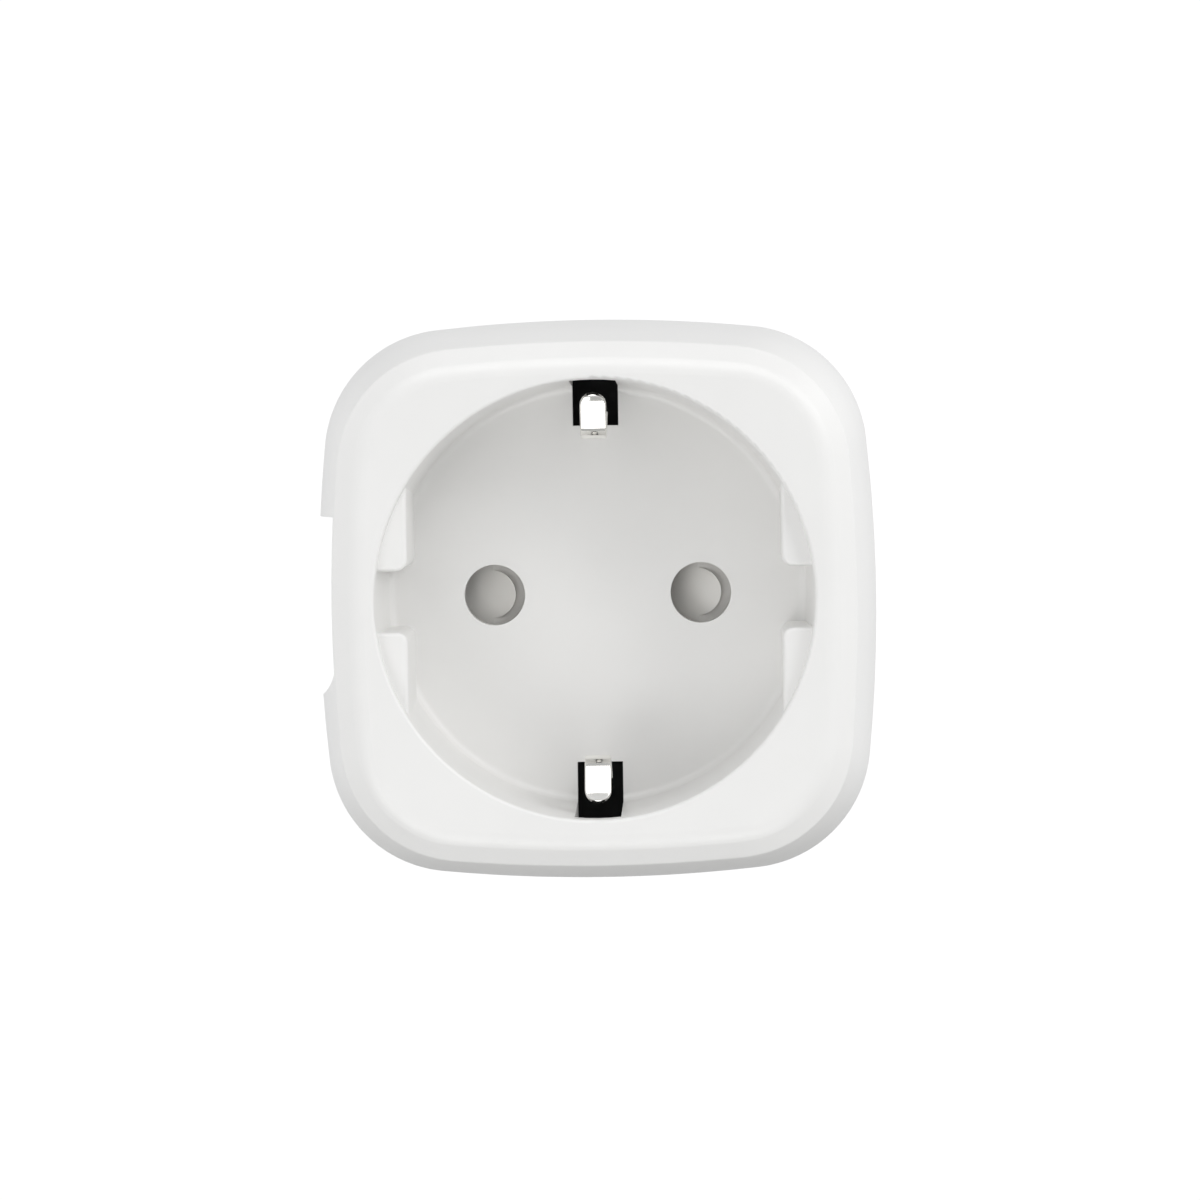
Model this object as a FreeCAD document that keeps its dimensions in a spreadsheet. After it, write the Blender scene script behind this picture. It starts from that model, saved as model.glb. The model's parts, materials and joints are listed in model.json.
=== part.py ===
import FreeCAD, Part

import math
import os
import re

import Sketcher
from FreeCAD import Placement, Rotation, Vector

# A plug-in smart adapter: a plug with two round pins and side earth contacts at the back, and
# a round recessed socket with the same standard geometry at the front.
#
# The frame has X to the right, Z up and Y into the wall. The origin is the centre of the plane
# that rests against the wall plate. Sizes are millimetres. Depths are given as a height above
# the wall plane, counted towards the room, so a height is -Y and the plug has negative heights.

# ---------------------------------------------------------------- driving dimensions

SIZES = {
    # Housing, from the wall plane outwards.
    "housing_height": 38.5,
    "seam_height": 34.5,
    "seam_gap": 0.12,
    "seam_round": 0.3,
    "shoulder_height": 28.0,
    "belly_height": 20.0,
    "flank_height": 11.0,
    "plate_thickness": 2.4,
    "front_thickness": 2.0,
    "wall_thickness": 1.8,
    # Outline: a square with four long side arcs and four corner arcs.
    "side_radius": 140.0,
    "outline_drop": 0.4,
    "cover_half": 23.7,
    "cover_corner": 10.9,
    "cover_slope_depth": 1.45,
    "cover_slope_reach": 2.2,
    "cover_blend": 2.6,
    "cover_edge": 0.35,
    "shoulder_half": 25.2,
    "shoulder_corner": 11.4,
    "belly_half": 25.65,
    "belly_corner": 11.6,
    "flank_half": 25.3,
    "flank_corner": 11.5,
    "tail_half": 24.1,
    "tail_corner": 11.0,
    "tail_edge": 1.7,
    "lip_inset": 2.2,
    "lip_inner_inset": 3.2,
    "lip_depth": 1.8,
    # Socket recess.
    "recess_radius": 19.8,
    "recess_floor_radius": 19.3,
    "floor_height": 21.0,
    "floor_thickness": 2.0,
    "cup_radius": 21.1,
    "rim_edge": 0.35,
    "floor_fillet": 0.8,
    "pin_offset": 9.5,
    "pin_hole_radius": 2.8,
    "guide_reach": 16.85,
    "guide_outer_radius": 20.4,
    "guide_height": 37.0,
    "guide_sink": 0.5,
    "guide_round": 0.4,
    "key_half": 2.75,
    "key_corner": 1.0,
    "slot_half": 2.1,
    "slot_inner": 15.5,
    "slot_outer": 22.2,
    # Screw posts at the four corners.
    "post_offset": 16.4,
    "post_radius": 2.9,
    "post_end": 4.6,
    "pilot_radius": 1.25,
    "pilot_depth": 10.0,
    "screw_radius": 1.2,
    "screw_clearance": 0.25,
    "screw_head_radius": 2.4,
    "screw_head": 1.4,
    "screw_head_sink": 1.6,
    "counterbore_gap": 0.3,
    "screw_length": 11.0,
    "cross_half": 0.3,
    "cross_reach": 0.6,
    "cross_floor": 0.45,
    # Button recess in the left flank.
    "niche_floor": 23.6,
    "niche_wall_inside": 21.9,
    "niche_wall_low": 11.5,
    "niche_wall_high": 9.7,
    "niche_top": 7.6,
    "niche_bottom": 5.55,
    "niche_scoop": 3.9,
    "niche_reach": 4.5,
    "niche_end": 4.5,
    "button_height": 10.0,
    "button_rise": 1.8,
    "button_half_width": 2.75,
    "button_half_length": 4.5,
    "button_face": 24.8,
    "button_dome": 0.5,
    "button_gap": 0.2,
    "flange_reach": 1.1,
    "flange_gap": 0.1,
    "flange_thickness": 0.7,
    "pipe_drop": 4.9,
    "pipe_radius": 0.9,
    "pipe_gap": 0.1,
    "pipe_standoff": 1.0,
    # Shutter behind the recess floor.
    "shutter_top": 18.0,
    "shutter_bottom": 16.6,
    "shutter_half": 4.6,
    "shutter_left": 12.6,
    "shutter_right": 13.0,
    "window_left": 0.6,
    "window_right": 6.4,
    "window_half": 3.0,
    "ramp_top": 18.8,
    "ramp_lip": 0.3,
    "ramp_run": 3.1,
    "ramp_radius": 2.2,
    "ramp_shift": 0.33,
    "ramp_groove_half": 3.0,
    "arm_thickness": 2.0,
    "arm_root": 4.2,
    "arm_reach": 7.6,
    "arm_top": 18.4,
    # Plate behind the shutter, and the shutter's spring.
    "retainer_top": 16.4,
    "retainer_bottom": 15.2,
    "retainer_half_width": 17.2,
    "retainer_half": 9.4,
    "retainer_hole_gap": 0.3,
    "rail_gap": 0.2,
    "rail_width": 0.5,
    "rail_far": 13.0,
    "rail_near": 3.0,
    "lug_near": 3.0,
    "lug_far": 5.0,
    "lug_inner": 5.2,
    "lug_outer": 7.8,
    "peg_reach": 14.5,
    "peg_rise": 7.0,
    "peg_radius": 2.0,
    "peg_pilot_radius": 0.95,
    "peg_pilot_depth": 2.4,
    "peg_screw_radius": 0.9,
    "peg_screw_clearance": 0.1,
    "peg_screw_head_radius": 1.8,
    "peg_screw_head": 1.2,
    "peg_screw_length": 3.2,
    "spring_rise": 6.5,
    "spring_height": 17.7,
    "spring_coil": 0.85,
    "spring_wire": 0.15,
    "spring_pitch": 1.32,
    "spring_gap": 0.05,
    # Earth contacts: heights along the strip and reach from the middle.
    "strip_thickness": 0.6,
    "clip_half": 1.2,
    "clip_neck_half": 0.75,
    "clip_neck_end": 25.0,
    "clip_root_height": 14.85,
    "clip_root_reach": 17.6,
    "clip_knee_height": 22.0,
    "clip_throat_height": 31.6,
    "clip_throat_reach": 14.25,
    "clip_tip_height": 33.6,
    "clip_tip_reach": 18.5,
    "clip_tip_round": 1.1,
    "clip_bend": 1.7,
    "clip_knee_bend": 4.0,
    "strip_half": 1.8,
    "strip_gap": 0.2,
    "strip_root_height": 14.7,
    "strip_step_height": 3.6,
    "strip_land_height": 0.6,
    "strip_reach": 16.7,
    "strip_end_height": 13.6,
    "strip_hook_height": 15.2,
    "strip_hook_reach": 15.9,
    "strip_bend": 1.2,
    # Channel of black plastic behind each earth slot.
    "channel_back_inner": 21.0,
    "channel_back_outer": 21.4,
    "channel_neck_half": 1.95,
    "channel_half": 3.2,
    "channel_top": 36.3,
    "channel_neck": 32.4,
    "channel_box_top": 18.9,
    "channel_bottom": 14.9,
    "channel_wall": 0.6,
    "channel_inner": 14.9,
    "channel_fit": 0.06,
    # Plug on the wall side.
    "boss_radius": 18.4,
    "boss_flat": 16.75,
    "boss_length": 17.0,
    "boss_edge": 1.0,
    "boss_face": 1.8,
    "boss_key_reach": 18.2,
    "boss_key_half": 2.4,
    "cavity_half_width": 14.6,
    "cavity_half": 14.2,
    "cavity_corner": 9.0,
    "earth_groove_half": 2.6,
    "earth_groove_floor": 16.3,
    "strip_slot_depth": 2.2,
    "hook_slot_margin": 0.5,
    "earth_hole_rise": 10.0,
    "earth_hole_radius": 2.9,
    "plug_pin_radius": 2.4,
    "plug_pin_length": 19.0,
    "plug_pin_root": 9.0,
    "plug_pin_dome": 1.6,
    "pin_root_radius": 2.0,
    "pin_root_gap": 0.05,
    "collar_radius": 4.0,
    "collar_depth": 6.0,
    "pad_gap": 0.1,
    # Earth socket in the plug, its lead, and the wire between the two earth strips.
    "sleeve_start": 14.8,
    "sleeve_length": 12.0,
    "sleeve_bore_length": 11.0,
    "sleeve_wall": 0.7,
    "sleeve_grip": 0.2,
    "sleeve_slit_half": 0.3,
    "sleeve_slit_end": 8.0,
    "sleeve_slit_reach": 5.0,
    "lead_half": 1.4,
    "lead_thickness": 0.6,
    "lead_foot": 2.8,
    "lead_foot_reach": 2.0,
    "lead_top": 7.6,
    "lead_rise": 13.7,
    "lead_gap": 0.3,
    "wire_height": 12.2,
    "wire_radius": 0.85,
    "wire_bend": 2.6,
    "wire_end": 0.6,
    "wire_end_rise": 16.4,
    "wire_elbow": 9.0,
    "wire_elbow_rise": 15.3,
    "wire_side": 15.4,
    "wire_side_rise": 10.0,
    # Contacts behind the recess floor, and the straps on the plug's pins.
    "contact_outer": 3.3,
    "contact_inner": 2.5,
    "contact_top": 15.0,
    "contact_foot": 5.0,
    "contact_foot_half_width": 4.1,
    "contact_foot_half": 3.6,
    "contact_slit_half": 0.35,
    "contact_slit_start": 7.0,
    "contact_slit_reach": 5.0,
    "strap_half": 2.0,
    "strap_thickness": 0.8,
    "strap_reach": 7.2,
    # Main board, parallel to the wall, and control board, upright behind the button.
    "board_front": 4.2,
    "board_back": 2.6,
    "board_half_width": 19.4,
    "board_half": 16.4,
    "board_relief": 3.3,
    "board_notch_half": 1.8,
    "board_notch_rise": 12.8,
    "control_outer": 18.6,
    "control_inner": 17.6,
    "control_top": 14.6,
    "control_low": 13.0,
    "control_high": 12.0,
    "control_notch": 2.0,
    "tact_half": 2.25,
    "tact_depth": 1.8,
    "tact_well_radius": 1.05,
    "tact_well_depth": 1.2,
    "plunger_radius": 1.0,
    "plunger_length": 1.0,
    "led_depth": 0.8,
    "led_half": 0.6,
    "led_half_length": 1.0,
    "can_round": 0.5,
    # Round parts on the main board.
    "can_radius": 4.0,
    "can_length": 10.2,
    "can_offset": 4.5,
    "can_rise": 10.9,
    "varistor_radius": 4.8,
    "varistor_thickness": 3.4,
    "varistor_left": 3.0,
    "varistor_centre": 5.2,
    "varistor_rise": 10.2,
    "inductor_radius": 3.1,
    "inductor_length": 6.2,
    "inductor_offset": 12.0,
    "inductor_rise": 10.2,
    "fuse_radius": 1.5,
    "fuse_length": 7.4,
    "fuse_offset": 13.4,
    "fuse_lift": 0.1,
    "fuse_low": 12.2,
}

# Square parts on the main board: left, right, how far they stand off it, low, high, and whether
# they are on the socket side.
BOARD_PARTS = {
    "relay": (-5.1, 5.1, 14.6, -12.2, 6.2, False),
    "film_capacitor": (-9.6, 0.4, 8.8, 7.9, 12.3, True),
    "bridge_rectifier": (-14.4, -9.8, 2.4, -11.5, -7.0, True),
    "converter_chip": (6.5, 11.5, 1.6, -11.0, -7.0, False),
    "metering_chip": (-11.5, -6.5, 1.6, -11.0, -7.0, False),
    "current_shunt": (-11.0, -6.0, 0.6, 8.6, 11.4, False),
}
# Square parts on the inner face of the control board: depth, lower and upper height, low, high.
CONTROL_PARTS = {
    "radio_shield": (2.2, 7.0, 14.0, -12.0, 0.0),
    "chip_antenna": (1.0, 7.5, 13.0, 5.0, 7.0),
    "board_header": (2.2, 4.2, 6.6, -7.0, 8.0),
}
for part, (left, right, depth, low, high, _) in BOARD_PARTS.items():
    SIZES.update({f"{part}_left": left, f"{part}_right": right, f"{part}_depth": depth,
                  f"{part}_low": low, f"{part}_high": high})
for part, (depth, floor, top, low, high) in CONTROL_PARTS.items():
    SIZES.update({f"{part}_depth": depth, f"{part}_floor": floor, f"{part}_top": top,
                  f"{part}_low": low, f"{part}_high": high})

doc = FreeCAD.newDocument("smart_plug")
sheet = doc.addObject("Spreadsheet::Sheet", "Sizes")
for row, (alias, size) in enumerate(SIZES.items(), start=1):
    sheet.set(f"A{row}", alias)
    sheet.set(f"B{row}", str(size))
    sheet.setAlias(f"B{row}", alias)
doc.recompute()

NODES = []


# ---------------------------------------------------------------- expressions and nodes

def bind(text):
    """Turn the dimension names in an expression into references to the sheet."""
    return re.sub(r"[a-z_]{3,}", lambda word: f"Sizes.{word[0]}" if word[0] in SIZES else word[0], text)


def set_size(item, prop, text):
    """Bind one property of an object to an expression in the sheet's dimensions."""
    item.setExpression(prop, bind(text))


def node(item, name):
    """Mark an object as a finished sub-part; its Label names its file."""
    item.Label = name
    NODES.append(item)
    return item


# ---------------------------------------------------------------- Part primitives

def block(name, x, height, z):
    """A box between pairs of expressions: across, above the wall plane and up."""
    box = doc.addObject("Part::Box", name)
    set_size(box, "Length", f"({x[1]}) - ({x[0]})")
    set_size(box, "Width", f"({height[1]}) - ({height[0]})")
    set_size(box, "Height", f"({z[1]}) - ({z[0]})")
    set_size(box, "Placement.Base.x", x[0])
    set_size(box, "Placement.Base.y", f"-({height[1]})")
    set_size(box, "Placement.Base.z", z[0])
    return box


TURNS = {
    "height": Rotation(Vector(1, 0, 0), 90),
    "x": Rotation(Vector(0, 1, 0), 90),
    "z": Rotation(),
}


def rod(name, along, radius, length, x, height, z):
    """A cylinder that starts at a point and runs along x, z or away from the wall."""
    cylinder = doc.addObject("Part::Cylinder", name)
    cylinder.Placement = Placement(Vector(), TURNS[along])
    set_size(cylinder, "Radius", radius)
    set_size(cylinder, "Height", length)
    set_size(cylinder, "Placement.Base.x", x)
    set_size(cylinder, "Placement.Base.y", f"-({height})")
    set_size(cylinder, "Placement.Base.z", z)
    return cylinder


def fuse(name, *items):
    union = doc.addObject("Part::MultiFuse", name)
    union.Shapes = list(items)
    return union


def cut(name, base, *tools):
    difference = doc.addObject("Part::Cut", name)
    difference.Base = base
    difference.Tool = tools[0] if len(tools) == 1 else fuse(f"{name}_tools", *tools)
    return difference


def common(name, *items):
    overlap = doc.addObject("Part::MultiCommon", name)
    overlap.Shapes = list(items)
    return overlap


def group(name, *items):
    """Separate solids that are exported together as one sub-part."""
    compound = doc.addObject("Part::Compound", name)
    compound.Links = list(items)
    return compound


def soften(name, base, radius, wanted):
    """Round the edges of a Part object for which wanted(edge) is true."""
    doc.recompute()
    rounded = doc.addObject("Part::Fillet", name)
    rounded.Base = base
    edges = [i for i, edge in enumerate(base.Shape.Edges, start=1) if wanted(edge)]
    rounded.Edges = [(i, radius, radius) for i in edges]
    return rounded


def pill(name, x, height, z, half_width, half_length):
    """A bar with round ends, long in z, that runs along x between two expressions."""
    straight = f"({half_length} - ({half_width}))"
    depth = f"({x[1]}) - ({x[0]})"
    middle = block(f"{name}_middle", x, (f"{height} - ({half_width})", f"{height} + {half_width}"),
                   (f"{z} - {straight}", f"{z} + {straight}"))
    upper = rod(f"{name}_upper", "x", half_width, depth, x[0], height, f"{z} + {straight}")
    lower = rod(f"{name}_lower", "x", half_width, depth, x[0], height, f"{z} - {straight}")
    return fuse(name, middle, upper, lower)


# ---------------------------------------------------------------- PartDesign helpers

def new_body(name):
    return doc.addObject("PartDesign::Body", name)


def origin_plane(body, role):
    return next(item for item in body.Origin.OriginFeatures if item.Role == role)


def new_sketch(body, name, height="0", role="XZ_Plane"):
    """A sketch on the body's own origin plane, moved along that plane's normal."""
    sketch = body.newObject("Sketcher::SketchObject", name)
    sketch.AttachmentSupport = [(origin_plane(body, role), "")]
    sketch.MapMode = "FlatFace"
    set_size(sketch, ".AttachmentOffset.Base.z", height)
    return sketch


def limit(sketch, text, kind, *where):
    """Add a dimension at the size the geometry has now, and bind it to an expression."""
    if kind == "Radius":
        now = sketch.Geometry[where[0]].Radius
    else:
        first = Vector() if where[0] == -1 else sketch.getPoint(where[0], where[1])
        last = Vector() if where[2] == -1 else sketch.getPoint(where[2], where[3])
        now = (last - first).x if kind == "DistanceX" else (last - first).y
    index = sketch.addConstraint(Sketcher.Constraint(kind, *where, now))
    set_size(sketch, f"Constraints[{index}]", text)


def add_circle(sketch, x, z, radius):
    circle = sketch.addGeometry(Part.Circle(Vector(1, 1, 0), Vector(0, 0, 1), 1.0))
    limit(sketch, x, "DistanceX", -1, 1, circle, 3)
    limit(sketch, z, "DistanceY", -1, 1, circle, 3)
    limit(sketch, radius, "Radius", circle)


def add_polygon(sketch, corners):
    """A closed outline whose corners are pairs of expressions."""
    count = len(corners)
    start = [Vector(math.cos(2 * math.pi * i / count), math.sin(2 * math.pi * i / count), 0)
             for i in range(count)]
    lines = [sketch.addGeometry(Part.LineSegment(start[i], start[(i + 1) % count])) for i in range(count)]
    for i, (across, up) in enumerate(corners):
        sketch.addConstraint(Sketcher.Constraint("Coincident", lines[i], 2, lines[(i + 1) % count], 1))
        limit(sketch, across, "DistanceX", -1, 1, lines[i], 1)
        limit(sketch, up, "DistanceY", -1, 1, lines[i], 1)


def add_rectangle(sketch, x, z):
    add_polygon(sketch, [(x[0], z[0]), (x[1], z[0]), (x[1], z[1]), (x[0], z[1])])


def add_squircle(sketch, half, corner, inset=None):
    """Four long side arcs joined by four tangent corner arcs, moved in by an inset.

    The housing's outline is centred a little below the axis of the socket and the plug.
    """
    set_size(sketch, ".AttachmentOffset.Base.y", "-outline_drop")
    inset_size = SIZES[inset] if inset else 0.0
    inset_text = f" - {inset}" if inset else ""
    sag = SIZES["side_radius"] - SIZES[half]
    reach = SIZES["side_radius"] - SIZES[corner]
    centre = (math.sqrt(2 * reach ** 2 - sag ** 2) - sag) / 2
    join = math.atan2(centre, centre + sag)
    sides = []
    corners = []
    for quarter in range(4):
        turn = quarter * math.pi / 2
        spin = Rotation(Vector(0, 0, 1), 90 * quarter)
        side = Part.Circle(spin.multVec(Vector(-sag, 0, 0)), Vector(0, 0, 1),
                           SIZES["side_radius"] - inset_size)
        bend = Part.Circle(spin.multVec(Vector(centre, centre, 0)), Vector(0, 0, 1),
                           SIZES[corner] - inset_size)
        sides.append(sketch.addGeometry(Part.ArcOfCircle(side, turn - join, turn + join)))
        corners.append(sketch.addGeometry(
            Part.ArcOfCircle(bend, turn + join, turn + math.pi / 2 - join)))
    for quarter in range(4):
        following = sides[(quarter + 1) % 4]
        sketch.addConstraint(Sketcher.Constraint("Tangent", sides[quarter], 2, corners[quarter], 1))
        sketch.addConstraint(Sketcher.Constraint("Tangent", corners[quarter], 2, following, 1))
        sketch.addConstraint(Sketcher.Constraint("PointOnObject", sides[quarter], 3, -1 - quarter % 2))
        if quarter:
            sketch.addConstraint(Sketcher.Constraint("Equal", sides[0], sides[quarter]))
            sketch.addConstraint(Sketcher.Constraint("Equal", corners[0], corners[quarter]))
    limit(sketch, f"side_radius{inset_text}", "Radius", sides[0])
    limit(sketch, f"{corner}{inset_text}", "Radius", corners[0])
    offset = f"side_radius - {half}"
    limit(sketch, offset, "DistanceX", sides[0], 3, -1, 1)
    limit(sketch, offset, "DistanceY", sides[1], 3, -1, 1)
    limit(sketch, offset, "DistanceX", -1, 1, sides[2], 3)
    limit(sketch, offset, "DistanceY", -1, 1, sides[3], 3)


def pad(body, sketch, length, to_wall=False):
    """Extrude a sketch away from the wall, or towards it, and check that material was added."""
    before = body.Shape.Volume if body.Tip else 0.0
    feature = body.newObject("PartDesign::Pad", f"{sketch.Name}_pad")
    feature.Profile = sketch
    feature.Reversed = to_wall
    set_size(feature, "Length", length)
    doc.recompute()
    assert feature.Shape.Volume > before, f"{feature.Name} adds nothing"
    return feature


def pocket(body, sketch, length, to_wall=True):
    """Cut a sketch towards the wall, or away from it, and check that material went."""
    before = body.Shape.Volume
    feature = body.newObject("PartDesign::Pocket", f"{sketch.Name}_pocket")
    feature.Profile = sketch
    feature.Reversed = not to_wall
    set_size(feature, "Length", length)
    doc.recompute()
    assert feature.Shape.Volume < before, f"{feature.Name} cuts nothing"
    return feature


def fillet(body, name, size, wanted, kind="Fillet"):
    """Round or bevel the edges of the body's tip for which wanted(edge) is true."""
    base = body.Tip
    edges = [f"Edge{i}" for i, edge in enumerate(base.Shape.Edges, start=1) if wanted(edge)]
    assert edges, f"{name} found no edges"
    feature = body.newObject(f"PartDesign::{kind}", name)
    feature.Base = (base, edges)
    set_size(feature, "Radius" if kind == "Fillet" else "Size", size)
    doc.recompute()
    return feature


def slope(body, name, depth, reach, wanted):
    """Bevel edges at an angle: depth down the side wall and reach across the face."""
    bevel = fillet(body, name, depth, wanted, "Chamfer")
    bevel.ChamferType = "Two distances"
    set_size(bevel, "Size2", reach)
    doc.recompute()


def at_height(edge, height):
    """Whether a whole edge lies at one height above the wall plane."""
    box = edge.BoundBox
    return abs(box.YMin + height) < 0.01 and abs(box.YMax + height) < 0.01


def middle_radius(edge):
    """How far the middle of an edge is from the depth axis."""
    middle = edge.valueAt((edge.FirstParameter + edge.LastParameter) / 2)
    return math.hypot(middle.x, middle.z)


def is_ring(edge, height, radius):
    """Whether an edge is part of a circle about the depth axis at one height and radius."""
    return at_height(edge, height) and abs(middle_radius(edge) - radius) < 0.05


def bent_strip(name, points, bends, half_width, thickness="strip_thickness"):
    """A flat strip swept along a bent path in the plane through the middle of the object.

    The points are pairs of dimension names, height above the wall and reach upwards, and a
    minus sign before a height puts it on the plug side. The first leg runs along the depth.
    """
    body = new_body(name)
    path = new_sketch(body, f"{name}_path", role="YZ_Plane")
    places = [strip_point(point) for point in points]
    lines = []
    arcs = []
    start = places[0]
    for i, bend in enumerate(bends, start=1):
        arc, first, last = corner_arc(places[i - 1], places[i], places[i + 1], SIZES[bend])
        lines.append(path.addGeometry(Part.LineSegment(start, first)))
        arcs.append(path.addGeometry(arc))
        start = last
    lines.append(path.addGeometry(Part.LineSegment(start, places[-1])))
    for i, bend in enumerate(bends):
        join_arc(path, lines[i], arcs[i], lines[i + 1])
        limit(path, bend, "Radius", arcs[i])
        knee = path.addGeometry(Part.Point(places[i + 1]), True)
        limit(path, depth_text(points[i + 1][0]), "DistanceX", -1, 1, knee, 1)
        limit(path, points[i + 1][1], "DistanceY", -1, 1, knee, 1)
        path.addConstraint(Sketcher.Constraint("PointOnObject", knee, 1, lines[i]))
        path.addConstraint(Sketcher.Constraint("PointOnObject", knee, 1, lines[i + 1]))
    for line, end, point in ((lines[0], 1, points[0]), (lines[-1], 2, points[-1])):
        limit(path, depth_text(point[0]), "DistanceX", -1, 1, line, end)
        limit(path, point[1], "DistanceY", -1, 1, line, end)
    section = new_sketch(body, f"{name}_section", points[0][0])
    add_rectangle(section, (f"-{half_width}", half_width),
                  (f"{points[0][1]} - {thickness} / 2", f"{points[0][1]} + {thickness} / 2"))
    doc.recompute()
    pipe = body.newObject("PartDesign::AdditivePipe", f"{name}_sweep")
    pipe.Profile = section
    pipe.Spine = path
    doc.recompute()
    return body


def strip_point(point):
    """Where a strip's corner lies in its path sketch, whose axes are Y and Z."""
    height = SIZES[point[0].lstrip("-")]
    depth = height if point[0].startswith("-") else -height
    return Vector(depth, SIZES[point[1]], 0)


def depth_text(height):
    """The expression for Y at a height above the wall plane."""
    return height[1:] if height.startswith("-") else f"-{height}"


def corner_arc(before, corner, after, radius):
    """The tangent arc that rounds a corner, with its two ends."""
    leg_in = (before - corner).normalize()
    leg_out = (after - corner).normalize()
    half_angle = leg_in.getAngle(leg_out) / 2
    first = corner + leg_in * (radius / math.tan(half_angle))
    last = corner + leg_out * (radius / math.tan(half_angle))
    centre = corner + (leg_in + leg_out).normalize() * (radius / math.sin(half_angle))
    middle = centre + (corner - centre).normalize() * radius
    return Part.Arc(first, middle, last), first, last


def join_arc(sketch, line_in, arc, line_out):
    """Make an arc tangent to the lines before and after it, whichever way it was stored."""
    arc_start = sketch.getPoint(arc, 1)
    line_end = sketch.getPoint(line_in, 2)
    near, far = (1, 2) if (arc_start - line_end).Length < 1e-6 else (2, 1)
    sketch.addConstraint(Sketcher.Constraint("Tangent", line_in, 2, arc, near))
    sketch.addConstraint(Sketcher.Constraint("Tangent", arc, far, line_out, 1))


CORNERS = [("post_offset", "post_offset"), ("-post_offset", "post_offset"),
           ("-post_offset", "-post_offset"), ("post_offset", "-post_offset")]
SIDES = ["pin_offset", "-pin_offset"]
PEGS = [("peg_reach", "peg_rise"), ("-peg_reach", "-peg_rise")]
CLEAR = 1.0  # how far a cutting tool runs past the face it cuts


# ---------------------------------------------------------------- housing

def make_front_cover():
    """Front frame, socket recess, keyed guides, screw posts and the lip that enters the shell."""
    body = new_body("front_cover_body")
    frame = new_sketch(body, "frame_outline", "seam_height")
    add_squircle(frame, "cover_half", "cover_corner")
    pad(body, frame, "housing_height - seam_height")
    front = SIZES["housing_height"]
    crease = front - SIZES["cover_slope_depth"]
    slope(body, "frame_slope", "cover_slope_depth", "cover_slope_reach", lambda edge: at_height(edge, front))
    fillet(body, "frame_blend", "cover_blend", lambda edge: at_height(edge, front))
    fillet(body, "frame_edge", "cover_edge", lambda edge: at_height(edge, crease))
    fillet(body, "seam_edge", "seam_round", lambda edge: at_height(edge, SIZES["seam_height"]))
    hollow = new_sketch(body, "frame_hollow", "seam_height")
    add_squircle(hollow, "cover_half", "cover_corner", "lip_inset")
    pocket(body, hollow, "housing_height - seam_height - front_thickness", to_wall=False)
    lip = new_sketch(body, "front_lip", "seam_height - lip_depth")
    add_squircle(lip, "cover_half", "cover_corner", "lip_inset")
    add_squircle(lip, "cover_half", "cover_corner", "lip_inner_inset")
    pad(body, lip, "housing_height - seam_height - front_thickness + lip_depth")
    cup = new_sketch(body, "cup", "floor_height - floor_thickness")
    add_circle(cup, "0", "0", "cup_radius")
    pad(body, cup, "housing_height - front_thickness / 2 - floor_height + floor_thickness")
    cut_recess(body)
    cut_floor(body)
    add_guides(body)
    add_posts(body)
    return node(body, "front_cover")


def cut_recess(body):
    """The round recess, slightly narrower at its floor, turned about the depth axis."""
    profile = new_sketch(body, "recess_profile", role="XY_Plane")
    above = f"-housing_height - {CLEAR}"
    add_polygon(profile, [("0", above), ("recess_radius", above), ("recess_radius", "-housing_height"),
                          ("recess_floor_radius", "-floor_height"), ("0", "-floor_height")])
    before = body.Shape.Volume
    groove = body.newObject("PartDesign::Groove", "recess")
    groove.Profile = profile
    groove.ReferenceAxis = (profile, ["V_Axis"])
    doc.recompute()
    assert groove.Shape.Volume < before, "the recess cuts nothing"
    fillet(body, "recess_floor_fillet", "floor_fillet",
           lambda edge: is_ring(edge, SIZES["floor_height"], SIZES["recess_floor_radius"]))
    fillet(body, "recess_rim", "rim_edge",
           lambda edge: is_ring(edge, SIZES["housing_height"], SIZES["recess_radius"]))


def cut_floor(body):
    """Two pin holes, and an earth slot at the top and bottom that runs up the recess wall."""
    holes = new_sketch(body, "pin_holes", "floor_height")
    for side in SIDES:
        add_circle(holes, side, "0", "pin_hole_radius")
    pocket(body, holes, "floor_thickness")
    slots = new_sketch(body, "earth_slots", "housing_height - front_thickness")
    for low, high in (("slot_inner", "slot_outer"), ("-slot_outer", "-slot_inner")):
        add_rectangle(slots, ("-slot_half", "slot_half"), (low, high))
    pocket(body, slots, "housing_height - front_thickness - floor_height + floor_thickness")


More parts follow.
